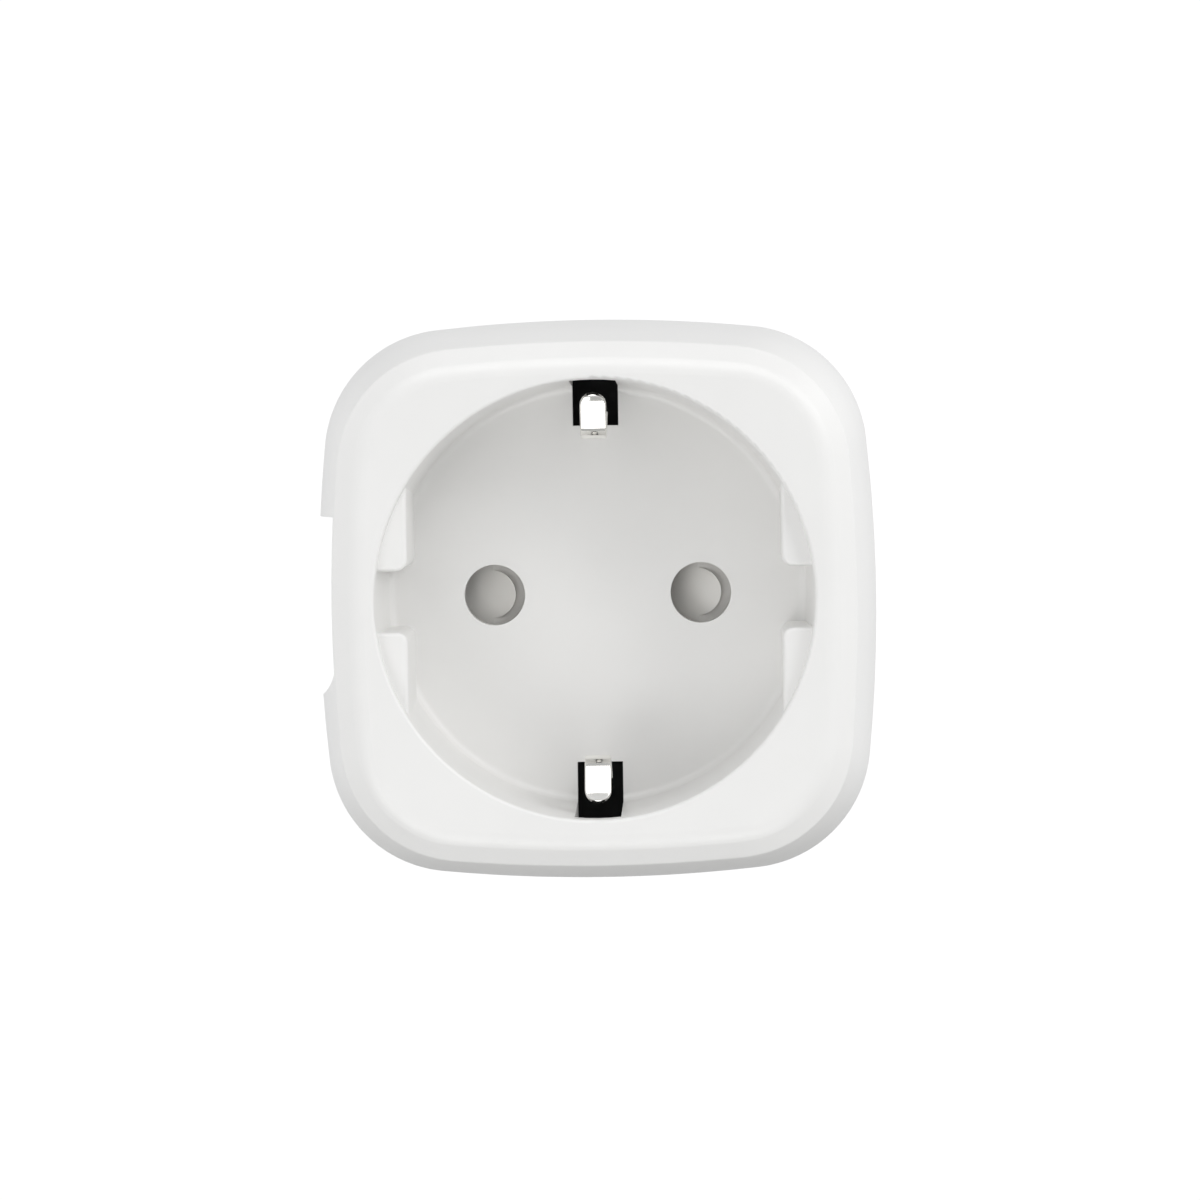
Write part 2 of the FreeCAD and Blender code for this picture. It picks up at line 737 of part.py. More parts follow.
def add_guides(body):
    """Four guide blocks, left and right, that leave a keyway between each pair."""
    outline = new_sketch(body, "guide", "floor_height - guide_sink")
    reach = SIZES["guide_reach"]
    key = SIZES["key_half"]
    corner = SIZES["key_corner"]
    outer = SIZES["guide_outer_radius"]
    wall_top = Vector(reach, math.sqrt(outer ** 2 - reach ** 2), 0)
    key_end = Vector(math.sqrt(outer ** 2 - key ** 2), key, 0)
    flat = outline.addGeometry(Part.LineSegment(Vector(reach, key + corner, 0), wall_top))
    back = outline.addGeometry(Part.ArcOfCircle(
        Part.Circle(Vector(), Vector(0, 0, 1), outer),
        math.atan2(key_end.y, key_end.x), math.atan2(wall_top.y, wall_top.x)))
    side = outline.addGeometry(Part.LineSegment(key_end, Vector(reach + corner, key, 0)))
    nose = outline.addGeometry(Part.ArcOfCircle(
        Part.Circle(Vector(reach + corner, key + corner, 0), Vector(0, 0, 1), corner),
        math.pi, 1.5 * math.pi))
    for rule in (("Tangent", flat, 1, nose, 1), ("Tangent", side, 2, nose, 2),
                 ("Coincident", flat, 2, back, 2), ("Coincident", back, 1, side, 1),
                 ("Vertical", flat), ("Horizontal", side), ("Coincident", back, 3, -1, 1)):
        outline.addConstraint(Sketcher.Constraint(*rule))
    limit(outline, "guide_outer_radius", "Radius", back)
    limit(outline, "key_corner", "Radius", nose)
    limit(outline, "guide_reach", "DistanceX", -1, 1, flat, 1)
    limit(outline, "key_half", "DistanceY", -1, 1, side, 1)
    guide = pad(body, outline, "guide_height - floor_height + guide_sink")
    four = body.newObject("PartDesign::MultiTransform", "four_guides")
    four.Originals = [guide]
    mirrors = []
    for role in ("YZ_Plane", "XY_Plane"):
        mirror = doc.addObject("PartDesign::Mirrored", f"guide_mirror_{role[:2].lower()}")
        body.addObject(mirror)
        mirror.MirrorPlane = (origin_plane(body, role), [""])
        mirrors.append(mirror)
    four.Transformations = mirrors
    body.Tip = four
    doc.recompute()
    fillet(body, "guide_edges", "guide_round",
           lambda edge: at_height(edge, SIZES["guide_height"])
           and middle_radius(edge) < SIZES["recess_floor_radius"])


def add_posts(body):
    """Four screw posts down to the rear cover and two short ones for the shutter retainer."""
    posts = new_sketch(body, "posts", "post_end")
    pilots = new_sketch(body, "post_pilots", "post_end")
    for x, z in CORNERS:
        add_circle(posts, x, z, "post_radius")
        add_circle(pilots, x, z, "pilot_radius")
    pad(body, posts, "housing_height - front_thickness / 2 - post_end")
    pocket(body, pilots, "pilot_depth", to_wall=False)
    pegs = new_sketch(body, "retainer_posts", "retainer_top")
    peg_pilots = new_sketch(body, "retainer_pilots", "retainer_top")
    for x, z in PEGS:
        add_circle(pegs, x, z, "peg_radius")
        add_circle(peg_pilots, x, z, "peg_pilot_radius")
    pad(body, pegs, "floor_height - floor_thickness / 2 - retainer_top")
    pocket(body, peg_pilots, "peg_pilot_depth", to_wall=False)


SHELL_STATIONS = [
    ("seam_height - seam_gap", "cover_half", "cover_corner"),
    ("shoulder_height", "shoulder_half", "shoulder_corner"),
    ("belly_height", "belly_half", "belly_corner"),
    ("flank_height", "flank_half", "flank_corner"),
    ("plate_thickness + seam_gap", "tail_half", "tail_corner"),
]


def shell_loft(name, inset=None):
    """The barrel between the seam and the rear plate, or its inside."""
    body = new_body(name)
    sections = []
    for height, half, corner in SHELL_STATIONS:
        section = new_sketch(body, f"{name}_{half}", height)
        add_squircle(section, half, corner, inset)
        sections.append(section)
    doc.recompute()
    loft = body.newObject("PartDesign::AdditiveLoft", f"{name}_loft")
    loft.Profile = sections[0]
    loft.Sections = sections[1:]
    doc.recompute()
    return body


def niche_tool():
    """The space of the button niche: square at the top, scooped out at the bottom."""
    body = new_body("niche_tool")
    outline = new_sketch(body, "niche_outline", "niche_end")
    floor = -SIZES["niche_floor"]
    top = SIZES["niche_top"]
    bottom = -SIZES["niche_bottom"]
    scoop = SIZES["niche_scoop"]
    far = floor - SIZES["niche_reach"]
    curve = outline.addGeometry(Part.ArcOfCircle(
        Part.Circle(Vector(floor - scoop, bottom, 0), Vector(0, 0, 1), scoop), 1.5 * math.pi, 2 * math.pi))
    ends = [Vector(floor, bottom, 0), Vector(floor, top, 0), Vector(far, top, 0),
            Vector(far, bottom - scoop, 0), Vector(floor - scoop, bottom - scoop, 0)]
    wall, roof, outside, base = [outline.addGeometry(Part.LineSegment(start, stop))
                                 for start, stop in zip(ends, ends[1:])]
    for rule in (("Tangent", curve, 2, wall, 1), ("Coincident", wall, 2, roof, 1),
                 ("Coincident", roof, 2, outside, 1), ("Coincident", outside, 2, base, 1),
                 ("Tangent", base, 2, curve, 1), ("Vertical", wall), ("Vertical", outside),
                 ("Horizontal", roof)):
        outline.addConstraint(Sketcher.Constraint(*rule))
    limit(outline, "niche_scoop", "Radius", curve)
    limit(outline, "-niche_floor", "DistanceX", -1, 1, wall, 1)
    limit(outline, "-niche_bottom", "DistanceY", -1, 1, wall, 1)
    limit(outline, "niche_top", "DistanceY", -1, 1, wall, 2)
    limit(outline, "niche_reach", "DistanceX", roof, 2, roof, 1)
    pad(body, outline, f"seam_height + {CLEAR} - niche_end")
    return body


def make_body_shell():
    """The barrel-shaped side wall, open at both ends, with the button niche on the left."""
    keep = block("niche_wall", ("-belly_half", "-niche_wall_inside"),
                 (f"plate_thickness - {CLEAR}", f"seam_height + {CLEAR}"),
                 ("-niche_wall_low", "niche_wall_high"))
    inside = cut("shell_hollow", shell_loft("shell_inside", "wall_thickness"), keep)
    hole = pill("button_hole", ("-belly_half", f"-niche_wall_inside + {CLEAR}"), "button_height",
                "button_rise", "button_half_width + button_gap", "button_half_length + button_gap")
    pipe_hole = rod("pipe_hole", "x", "pipe_radius + pipe_gap", f"belly_half - niche_wall_inside + {CLEAR}",
                    "-belly_half", "button_height", "-pipe_drop")
    shell = cut("body_shell_cut", shell_loft("shell_outside"), inside, niche_tool(), hole, pipe_hole)
    return node(shell, "body_shell")


def make_rear_cover():
    """Rear plate and the plug boss, with its flats, keys, earth grooves and pin collars."""
    body = new_body("rear_cover_body")
    plate = new_sketch(body, "rear_plate")
    add_squircle(plate, "tail_half", "tail_corner")
    pad(body, plate, "plate_thickness")
    fillet(body, "rear_edge", "tail_edge", lambda edge: at_height(edge, 0.0))
    lip = new_sketch(body, "rear_lip", "plate_thickness / 2")
    add_squircle(lip, "tail_half", "tail_corner", "lip_inset")
    add_squircle(lip, "tail_half", "tail_corner", "lip_inner_inset")
    pad(body, lip, "plate_thickness / 2 + lip_depth")
    boss = new_sketch(body, "boss")
    add_flatted_circle(boss)
    pad(body, boss, "boss_length", to_wall=True)
    fillet(body, "boss_edge_bevel", "boss_edge",
           lambda edge: at_height(edge, -SIZES["boss_length"]), "Chamfer")
    keys = new_sketch(body, "boss_keys")
    add_rectangle(keys, ("-boss_key_reach", "boss_key_reach"), ("-boss_key_half", "boss_key_half"))
    pad(body, keys, "boss_length - 2 * boss_edge", to_wall=True)
    cavity = new_sketch(body, "boss_cavity", "plate_thickness")
    add_rounded_rectangle(cavity, "cavity_half_width", "cavity_half", "cavity_corner")
    pocket(body, cavity, "plate_thickness + boss_length - boss_face")
    collars = new_sketch(body, "pin_collars", "-boss_length + boss_face / 2")
    for side in SIDES:
        add_circle(collars, side, "0", "collar_radius")
    pad(body, collars, "collar_depth")
    cut_rear_holes(body)
    return node(body, "rear_cover")


def add_flatted_circle(sketch):
    """The plug's outline: a circle with a flat on the left and on the right."""
    radius = SIZES["boss_radius"]
    flat = SIZES["boss_flat"]
    angle = math.acos(flat / radius)
    rise = radius * math.sin(angle)
    circle = Part.Circle(Vector(), Vector(0, 0, 1), radius)
    upper = sketch.addGeometry(Part.ArcOfCircle(circle, angle, math.pi - angle))
    left = sketch.addGeometry(Part.LineSegment(Vector(-flat, rise, 0), Vector(-flat, -rise, 0)))
    lower = sketch.addGeometry(Part.ArcOfCircle(circle, math.pi + angle, 2 * math.pi - angle))
    right = sketch.addGeometry(Part.LineSegment(Vector(flat, -rise, 0), Vector(flat, rise, 0)))
    loop = [upper, left, lower, right]
    for i in range(4):
        sketch.addConstraint(Sketcher.Constraint("Coincident", loop[i], 2, loop[(i + 1) % 4], 1))
    for line in (left, right):
        sketch.addConstraint(Sketcher.Constraint("Vertical", line))
    for arc in (upper, lower):
        sketch.addConstraint(Sketcher.Constraint("Coincident", arc, 3, -1, 1))
    limit(sketch, "boss_radius", "Radius", upper)
    limit(sketch, "-boss_flat", "DistanceX", -1, 1, left, 1)
    limit(sketch, "boss_flat", "DistanceX", -1, 1, right, 1)


def add_rounded_rectangle(sketch, half_width, half, corner):
    """A centred rectangle with four tangent corner arcs."""
    radius = SIZES[corner]
    reach = [SIZES[half_width] - radius, SIZES[half] - radius]
    sides = []
    corners = []
    for quarter in range(4):
        turn = Rotation(Vector(0, 0, 1), 90 * quarter)
        out, along = (reach[quarter % 2], reach[1 - quarter % 2])
        first = turn.multVec(Vector(out + radius, -along, 0))
        last = turn.multVec(Vector(out + radius, along, 0))
        bend = Part.Circle(turn.multVec(Vector(out, along, 0)), Vector(0, 0, 1), radius)
        start = quarter * math.pi / 2
        sides.append(sketch.addGeometry(Part.LineSegment(first, last)))
        corners.append(sketch.addGeometry(Part.ArcOfCircle(bend, start, start + math.pi / 2)))
    for quarter in range(4):
        following = sides[(quarter + 1) % 4]
        sketch.addConstraint(Sketcher.Constraint("Tangent", sides[quarter], 2, corners[quarter], 1))
        sketch.addConstraint(Sketcher.Constraint("Tangent", corners[quarter], 2, following, 1))
        direction = "Horizontal" if quarter % 2 else "Vertical"
        sketch.addConstraint(Sketcher.Constraint(direction, sides[quarter]))
        if quarter:
            sketch.addConstraint(Sketcher.Constraint("Equal", corners[0], corners[quarter]))
    limit(sketch, corner, "Radius", corners[0])
    limit(sketch, half_width, "DistanceX", -1, 1, sides[0], 1)
    limit(sketch, f"-{half_width}", "DistanceX", -1, 1, sides[2], 1)
    limit(sketch, half, "DistanceY", -1, 1, sides[1], 1)
    limit(sketch, f"-{half}", "DistanceY", -1, 1, sides[3], 1)


def cut_rear_holes(body):
    """Pin holes, the earth hole, the earth grooves with their slots, and the screw holes."""
    pins = new_sketch(body, "plug_pin_holes", "-boss_length")
    for side in SIDES:
        add_circle(pins, side, "0", "pin_root_radius + pin_root_gap")
    add_circle(pins, "0", "earth_hole_rise", "earth_hole_radius")
    pocket(body, pins, "boss_face + collar_depth", to_wall=False)
    grooves = new_sketch(body, "earth_grooves")
    hooks = new_sketch(body, "hook_slots", "hook_slot_margin - strip_end_height")
    slots = new_sketch(body, "strip_slots", "plate_thickness")
    width = ("-strip_half - strip_gap", "strip_half + strip_gap")
    for sign, low, high in (("", "earth_groove_floor", f"boss_radius + {CLEAR}"),
                            ("-", f"-boss_radius - {CLEAR}", "-earth_groove_floor")):
        add_rectangle(grooves, ("-earth_groove_half", "earth_groove_half"), (low, high))
        add_rectangle(slots, width, (f"{sign}earth_groove_floor",
                                     f"{sign}(earth_groove_floor + strip_slot_depth)"))
        add_rectangle(hooks, width, (f"{sign}(strip_hook_reach - hook_slot_margin)",
                                     f"{sign}(earth_groove_floor + hook_slot_margin)"))
    pocket(body, grooves, "boss_length")
    pocket(body, slots, "plate_thickness")
    pocket(body, hooks, "strip_hook_height - strip_end_height + 2 * hook_slot_margin")
    pads = new_sketch(body, "screw_pads", "plate_thickness / 2")
    clearances = new_sketch(body, "screw_clearances")
    counterbores = new_sketch(body, "screw_counterbores")
    for x, z in CORNERS:
        add_circle(pads, x, z, "post_radius")
        add_circle(clearances, x, z, "screw_radius + screw_clearance")
        add_circle(counterbores, x, z, "screw_head_radius + counterbore_gap")
    pad(body, pads, "post_end - pad_gap - plate_thickness / 2")
    pocket(body, clearances, "post_end", to_wall=False)
    pocket(body, counterbores, "screw_head_sink", to_wall=False)


def screw(name, x, z, seat, radius, head_radius, head, length):
    """A pan-head screw whose head bears at one height, with a cross recess."""
    shank = rod(f"{name}_shank", "height", radius, length, x, seat, z)
    cap = rod(f"{name}_cap", "height", head_radius, head, x, f"{seat} - {head}", z)
    depth = (f"{seat} - {head}", f"{seat} - {head} * cross_floor")
    arm = f"{head_radius} * cross_reach"
    bars = [block(f"{name}_bar_{tag}", (f"{x} - {wide}", f"{x} + {wide}"), depth,
                  (f"{z} - {tall}", f"{z} + {tall}"))
            for tag, wide, tall in (("a", "cross_half", arm), ("b", arm, "cross_half"))]
    return cut(name, fuse(f"{name}_blank", shank, cap), *bars)


def make_screws():
    """Four screws that close the housing, and two that hold the shutter's retainer."""
    for place, spots, sizes in (
            ("housing", CORNERS, ("screw_head_sink", "screw_radius", "screw_head_radius",
                                  "screw_head", "screw_length")),
            ("retainer", PEGS, ("retainer_bottom", "peg_screw_radius", "peg_screw_head_radius",
                                "peg_screw_head", "peg_screw_length"))):
        screws = [screw(f"{place}_screw_{i}", x, z, *sizes) for i, (x, z) in enumerate(spots, start=1)]
        node(group(f"{place}_screw_set", *screws), f"{place}_screws")


# ---------------------------------------------------------------- button, light and control board

def make_button():
    """The pill-shaped power button with the flange that keeps it in, and its light pipe."""
    inner = "-niche_wall_inside + flange_gap"
    cap = pill("button_cap", ("-button_face", inner), "button_height", "button_rise",
               "button_half_width", "button_half_length")
    flange = pill("button_flange", (inner, f"{inner} + flange_thickness"), "button_height", "button_rise",
                  "button_half_width + flange_reach", "button_half_length + flange_reach")
    face = -SIZES["button_face"]
    dome = soften("button_rounding", cap, SIZES["button_dome"],
                  lambda edge: abs(edge.BoundBox.XMax - face) < 0.01)
    node(fuse("button_and_flange", dome, flange), "power_button")
    pipe = rod("light_pipe_rod", "x", "pipe_radius", "niche_floor - control_outer - pipe_standoff",
               "-niche_floor", "button_height", "-pipe_drop")
    node(pipe, "light_pipe")


def make_control_board():
    """The upright radio board behind the button, with its switch and the button's lamp."""
    faces = ("-control_outer", "-control_inner")
    board = block("control_board_block", faces, ("board_front", "control_top"),
                  ("-control_low", "control_high"))
    notch = block("control_board_notch", faces, ("control_top - control_notch", "control_top"),
                  ("control_high - control_notch", "control_high"))
    node(cut("control_board_cut", board, notch), "control_board")
    case = block("tact_case", ("-control_outer - tact_depth", "-control_outer"),
                 ("button_height - tact_half", "button_height + tact_half"),
                 ("button_rise - tact_half", "button_rise + tact_half"))
    well = rod("tact_well", "x", "tact_well_radius", "tact_well_depth", "-control_outer - tact_depth",
               "button_height", "button_rise")
    node(cut("tact_case_cut", case, well), "tact_switch_case")
    plunger = rod("tact_plunger_rod", "x", "plunger_radius", "plunger_length",
                  "-niche_wall_inside + 2 * flange_gap + flange_thickness", "button_height", "button_rise")
    node(plunger, "tact_switch_plunger")
    lamp = block("status_led_block", ("-control_outer - led_depth", "-control_outer"),
                 ("button_height - led_half", "button_height + led_half"),
                 ("-pipe_drop - led_half_length", "-pipe_drop + led_half_length"))
    node(lamp, "status_led")


def make_control_parts():
    """What is soldered to the inner face of the control board."""
    for name in CONTROL_PARTS:
        part = block(f"{name}_block", ("-control_inner", f"-control_inner + {name}_depth"),
                     (f"{name}_floor", f"{name}_top"), (f"{name}_low", f"{name}_high"))
        if name == "radio_shield":
            outer_face = SIZES[f"{name}_depth"] - SIZES["control_inner"]
            part = soften(f"{name}_round", part, SIZES["can_round"],
                          lambda edge: edge.BoundBox.XMin > outer_face - 0.01)
        node(part, name)


# ---------------------------------------------------------------- shutter

def make_shutter():
    """The sliding child-safety shutter: a plate with two ramps that a plug's pins push aside."""
    depth = ("shutter_bottom", "shutter_top")
    plate = block("shutter_plate", ("-shutter_left", "shutter_right"), depth,
                  ("-shutter_half", "shutter_half"))
    window = block("shutter_window", ("window_left", "window_right"), depth, ("-window_half", "window_half"))
    arm = block("shutter_arm", ("-shutter_left", "-shutter_left + arm_thickness"),
                ("shutter_bottom", "arm_top"), ("arm_root", "arm_reach"))
    grooves = [ramp_slope(f"ramp_groove_{i}", side, False) for i, side in enumerate(SIDES, start=1)]
    ramps = []
    for i, side in enumerate(SIDES, start=1):
        column = rod(f"ramp_column_{i}", "height", "ramp_radius", "ramp_top - shutter_bottom",
                     f"{side} - ramp_shift", "shutter_bottom", "0")
        ramps.append(common(f"ramp_{i}", column, ramp_slope(f"ramp_slope_{i}", side, True)))
    node(fuse("shutter_fuse", cut("shutter_frame", plate, window, *grooves), arm, *ramps), "shutter")


def ramp_slope(name, side, below):
    """The wedge under a ramp's slope, or the space over its low end, under one pin hole.

    The slope rises to the right, so that a pin pushed in drives the shutter to the right. It
    starts from a lip at the plate's edge, passes the plate's face near the middle of the hole,
    and ends above the face in a round nose.
    """
    low = f"{side} - ramp_run"
    high = f"{side} - ramp_shift + ramp_radius"
    lip = "(shutter_bottom + ramp_lip)"
    level = f"{low} + ({high} - ({low})) * (shutter_top - {lip}) / (ramp_top - {lip})"
    body = new_body(name)
    half = "ramp_radius" if below else "ramp_groove_half"
    side_view = new_sketch(body, f"{name}_side_view", f"-{half}", role="XY_Plane")
    if below:
        corners = [(low, "-shutter_bottom"), (high, "-shutter_bottom"), (high, "-ramp_top"), (low, f"-{lip}")]
    else:
        corners = [(low, f"-{lip}"), (level, "-shutter_top"), (low, "-shutter_top")]
    add_polygon(side_view, corners)
    pad(body, side_view, f"2 * {half}")
    return body


def make_retainer():
    """The plate that holds the shutter against the recess floor, with its rails and spring lug."""
    rails = ("retainer_top", "shutter_top")
    plate = block("retainer_plate", ("-retainer_half_width", "retainer_half_width"),
                  ("retainer_bottom", "retainer_top"), ("-retainer_half", "retainer_half"))
    lug = block("spring_lug", ("lug_near", "lug_far"), ("retainer_top", "ramp_top"),
                ("lug_inner", "lug_outer"))
    low_rail = block("low_rail", ("-rail_far", "rail_far"), rails,
                     ("-shutter_half - rail_gap - rail_width", "-shutter_half - rail_gap"))
    high_rail = block("high_rail", ("-rail_near", "rail_far"), rails,
                      ("shutter_half + rail_gap", "shutter_half + rail_gap + rail_width"))
    thickness = "retainer_top - retainer_bottom"
    holes = [rod(f"retainer_pin_hole_{i}", "height", "pin_hole_radius + retainer_hole_gap", thickness,
                 side, "retainer_bottom", "0") for i, side in enumerate(SIDES, start=1)]
    holes += [rod(f"retainer_screw_hole_{i}", "height", "peg_screw_radius + peg_screw_clearance", thickness,
                  x, "retainer_bottom", z) for i, (x, z) in enumerate(PEGS, start=1)]
    blank = fuse("retainer_blank", plate, lug, low_rail, high_rail)
    node(cut("retainer_cut", blank, *holes), "shutter_retainer")


def make_shutter_spring():
    """The compression spring between the shutter's arm and the retainer's lug."""
    body = new_body("spring_body")
    wire = new_sketch(body, "spring_wire_section")
    add_circle(wire, "spring_wire", "spring_coil", "spring_wire")
    doc.recompute()
    coil = body.newObject("PartDesign::AdditiveHelix", "spring_coil_sweep")
    coil.Profile = wire
    coil.ReferenceAxis = (wire, ["H_Axis"])
    coil.Mode = "pitch-height-angle"
    set_size(coil, "Pitch", "spring_pitch")
    set_size(coil, "Height", "shutter_left - arm_thickness + lug_near - 2 * spring_wire - 2 * spring_gap")
    set_size(body, "Placement.Base.x", "-shutter_left + arm_thickness + spring_gap")
    set_size(body, "Placement.Base.y", "-spring_height")
    set_size(body, "Placement.Base.z", "spring_rise")
    node(body, "shutter_spring")


# ---------------------------------------------------------------- earth path

CLIP_PATH = [("clip_root_height", "clip_root_reach"), ("clip_knee_height", "clip_root_reach"),
             ("clip_throat_height", "clip_throat_reach"), ("clip_tip_height", "clip_tip_reach")]
STRIP_PATH = [("strip_root_height", "clip_root_reach"), ("strip_step_height", "clip_root_reach"),
              ("strip_land_height", "strip_reach"), ("-strip_end_height", "strip_reach"),
              ("-strip_hook_height", "strip_hook_reach")]


def is_tip_corner(edge):
    """Whether an edge is one of the two short ones across the thickness at a clip's tip."""
    return (abs(edge.Length - SIZES["strip_thickness"]) < 0.01
            and edge.BoundBox.Center.z > SIZES["clip_throat_reach"] + SIZES["clip_bend"]
            and edge.BoundBox.Center.y < -SIZES["clip_throat_height"])


def make_earth_contacts():
    """A socket-side spring clip and a plug-side strip at the top, and the same at the bottom."""
    for place, turn in (("top", 0), ("bottom", 180)):
        blade = bent_strip(f"clip_{place}", CLIP_PATH, ["clip_knee_bend", "clip_bend"], "clip_half")
        fillet(blade, f"clip_{place}_tip", "clip_tip_round", is_tip_corner)
        sides = [block(f"clip_{place}_{side}", width, (f"clip_root_height - {CLEAR}", "clip_neck_end"),
                       ("clip_throat_reach", f"clip_root_reach + {CLEAR}"))
                 for side, width in (("left", (f"-clip_half - {CLEAR}", "-clip_neck_half")),
                                     ("right", ("clip_neck_half", f"clip_half + {CLEAR}")))]
        clip = cut(f"clip_{place}_necked", blade, *sides)
        clip.Placement = Placement(Vector(), Rotation(Vector(0, 1, 0), turn))
        node(clip, f"earth_clip_{place}")
        strip = bent_strip(f"strip_{place}", STRIP_PATH, ["strip_bend"] * 3, "strip_half")
        strip.Placement = Placement(Vector(), Rotation(Vector(0, 1, 0), turn))
        node(strip, f"earth_strip_{place}")


def make_clip_guides():
    """The black channel behind each earth slot: a back plate, and a box round the clip's root."""
    for place, turn in (("top", 0), ("bottom", 180)):
        back = ("channel_back_inner", "channel_back_outer")
        neck = block(f"channel_neck_{place}", ("-channel_neck_half", "channel_neck_half"),
                     ("channel_bottom", "channel_top"), back)
        wings = block(f"channel_wings_{place}", ("-channel_half", "channel_half"),
                      ("channel_bottom", "channel_neck"), back)
        box = block(f"channel_box_{place}", ("-channel_half", "channel_half"),
                    ("channel_bottom", "channel_box_top"), ("channel_inner", "channel_back_outer"))
        hollow = block(f"channel_hollow_{place}",
                       ("-channel_half + channel_wall", "channel_half - channel_wall"),
                       ("channel_bottom + channel_wall", "channel_box_top"),
                       ("channel_inner + channel_wall", "channel_back_inner"))
        slot = block(f"channel_slot_{place}", ("-clip_neck_half - channel_fit", "clip_neck_half + channel_fit"),
                     ("channel_bottom", "channel_bottom + channel_wall"),
                     ("clip_root_reach - strip_thickness / 2 - channel_fit",
                      "clip_root_reach + strip_thickness / 2 + channel_fit"))
        guide = fuse(f"channel_{place}", neck, wings, cut(f"channel_cup_{place}", box, hollow, slot))
        guide.Placement = Placement(Vector(), Rotation(Vector(0, 1, 0), turn))
        node(guide, f"clip_guide_{place}")


def make_earth_socket():
    """The sleeve behind the earth hole of the plug, with the lead that joins it to the top strip."""
    sleeve = rod("earth_sleeve_outer", "height", "earth_hole_radius + sleeve_wall", "sleeve_length",
                 "0", "-sleeve_start", "earth_hole_rise")
    bore = rod("earth_sleeve_bore", "height", "earth_hole_radius - sleeve_grip", "sleeve_bore_length",
               "0", "-sleeve_start", "earth_hole_rise")
    slit = block("earth_sleeve_slit", ("-sleeve_slit_half", "sleeve_slit_half"),
                 ("-sleeve_start", "-sleeve_slit_end"),
                 ("earth_hole_rise - sleeve_slit_reach", "earth_hole_rise + sleeve_slit_reach"))
    node(cut("earth_sleeve_cut", sleeve, bore, slit), "earth_pin_socket")
    width = ("-lead_half", "lead_half")
    riser = block("earth_lead_riser", width, ("-lead_foot", "lead_top"),
                  ("lead_rise - lead_thickness", "lead_rise"))
    foot = block("earth_lead_foot", width, ("-lead_foot", "-lead_foot + lead_thickness"),
                 ("earth_hole_rise - lead_foot_reach", "lead_rise"))
    top = block("earth_lead_top", width, ("lead_top - lead_thickness", "lead_top"),
                ("lead_rise - lead_thickness", "clip_root_reach - lead_gap"))
    node(fuse("earth_lead_fuse", riser, foot, top), "earth_socket_lead")


def make_earth_wire():
    """The insulated wire that joins the top and bottom earth strips round the right side."""
    half = [Vector(sheet.get(f"wire_{place}"), sheet.get(f"wire_{place}_rise"), 0)
            for place in ("end", "elbow", "side")]
    route = half + [Vector(point.x, -point.y, 0) for point in reversed(half)]
    edges = []
    start = route[0]
    for before, corner, after in zip(route, route[1:], route[2:]):
        arc, first, last = corner_arc(before, corner, after, sheet.get("wire_bend"))
        edges += [Part.LineSegment(start, first).toShape(), arc.toShape()]
        start = last
    edges.append(Part.LineSegment(start, route[-1]).toShape())
    section = Part.Wire(Part.Circle(route[0], route[1] - route[0], sheet.get("wire_radius")).toShape())
    wire = doc.addObject("Part::Feature", "earth_wire_tube")
    wire.Shape = Part.Wire(edges).makePipeShell([section], True, False)
    wire.Placement = Placement(Vector(0, -sheet.get("wire_height"), 0), TURNS["height"])
    node(wire, "earth_wire")


# ---------------------------------------------------------------- live parts

def make_contacts():
    """The split sleeves that grip a plug's pins, on feet soldered to the main board."""
    for name, side in (("live_contact", "pin_offset"), ("neutral_contact", "-pin_offset")):
        sleeve = rod(f"{name}_sleeve", "height", "contact_outer", "contact_top - board_front",
                     side, "board_front", "0")
        foot = block(f"{name}_foot",
                     (f"{side} - contact_foot_half_width", f"{side} + contact_foot_half_width"),
                     ("board_front", "contact_foot"), ("-contact_foot_half", "contact_foot_half"))
        bore = rod(f"{name}_bore", "height", "contact_inner", "contact_top", side, "board_front", "0")
        slits = [block(f"{name}_slit_{tag}", (f"{side} - {wide}", f"{side} + {wide}"),
                       ("contact_slit_start", "contact_top"), (f"-{tall}", tall))
                 for tag, wide, tall in (("x", "contact_slit_reach", "contact_slit_half"),
                                         ("z", "contact_slit_half", "contact_slit_reach"))]
        node(cut(f"{name}_cut", fuse(f"{name}_blank", sleeve, foot), bore, *slits), name)


def make_plug_pins():
    """The two round pins with domed tips, and the strap from each pin's root to the board."""
    tip = -SIZES["boss_length"] - SIZES["plug_pin_length"]
    for name, side in (("live", "pin_offset"), ("neutral", "-pin_offset")):
        shaft = rod(f"{name}_pin_shaft", "height", "plug_pin_radius", "plug_pin_length",
                    side, "-boss_length - plug_pin_length", "0")
        root = rod(f"{name}_pin_root", "height", "pin_root_radius", "boss_length - plug_pin_root",
                   side, "-boss_length", "0")
        domed = soften(f"{name}_pin_dome", shaft, SIZES["plug_pin_dome"], lambda edge: at_height(edge, tip))
        node(fuse(f"{name}_pin_fuse", domed, root), f"{name}_pin")
        width = (f"{side} - strap_half", f"{side} + strap_half")
        foot = block(f"{name}_strap_foot", width, ("-plug_pin_root", "-plug_pin_root + strap_thickness"),
                     ("-strap_half", "strap_reach"))
        riser = block(f"{name}_strap_riser", width, ("-plug_pin_root", "board_back"),
                      ("strap_reach - strap_thickness", "strap_reach"))
        node(fuse(f"{name}_strap_fuse", foot, riser), f"{name}_strap")


# ---------------------------------------------------------------- main board and what is on it

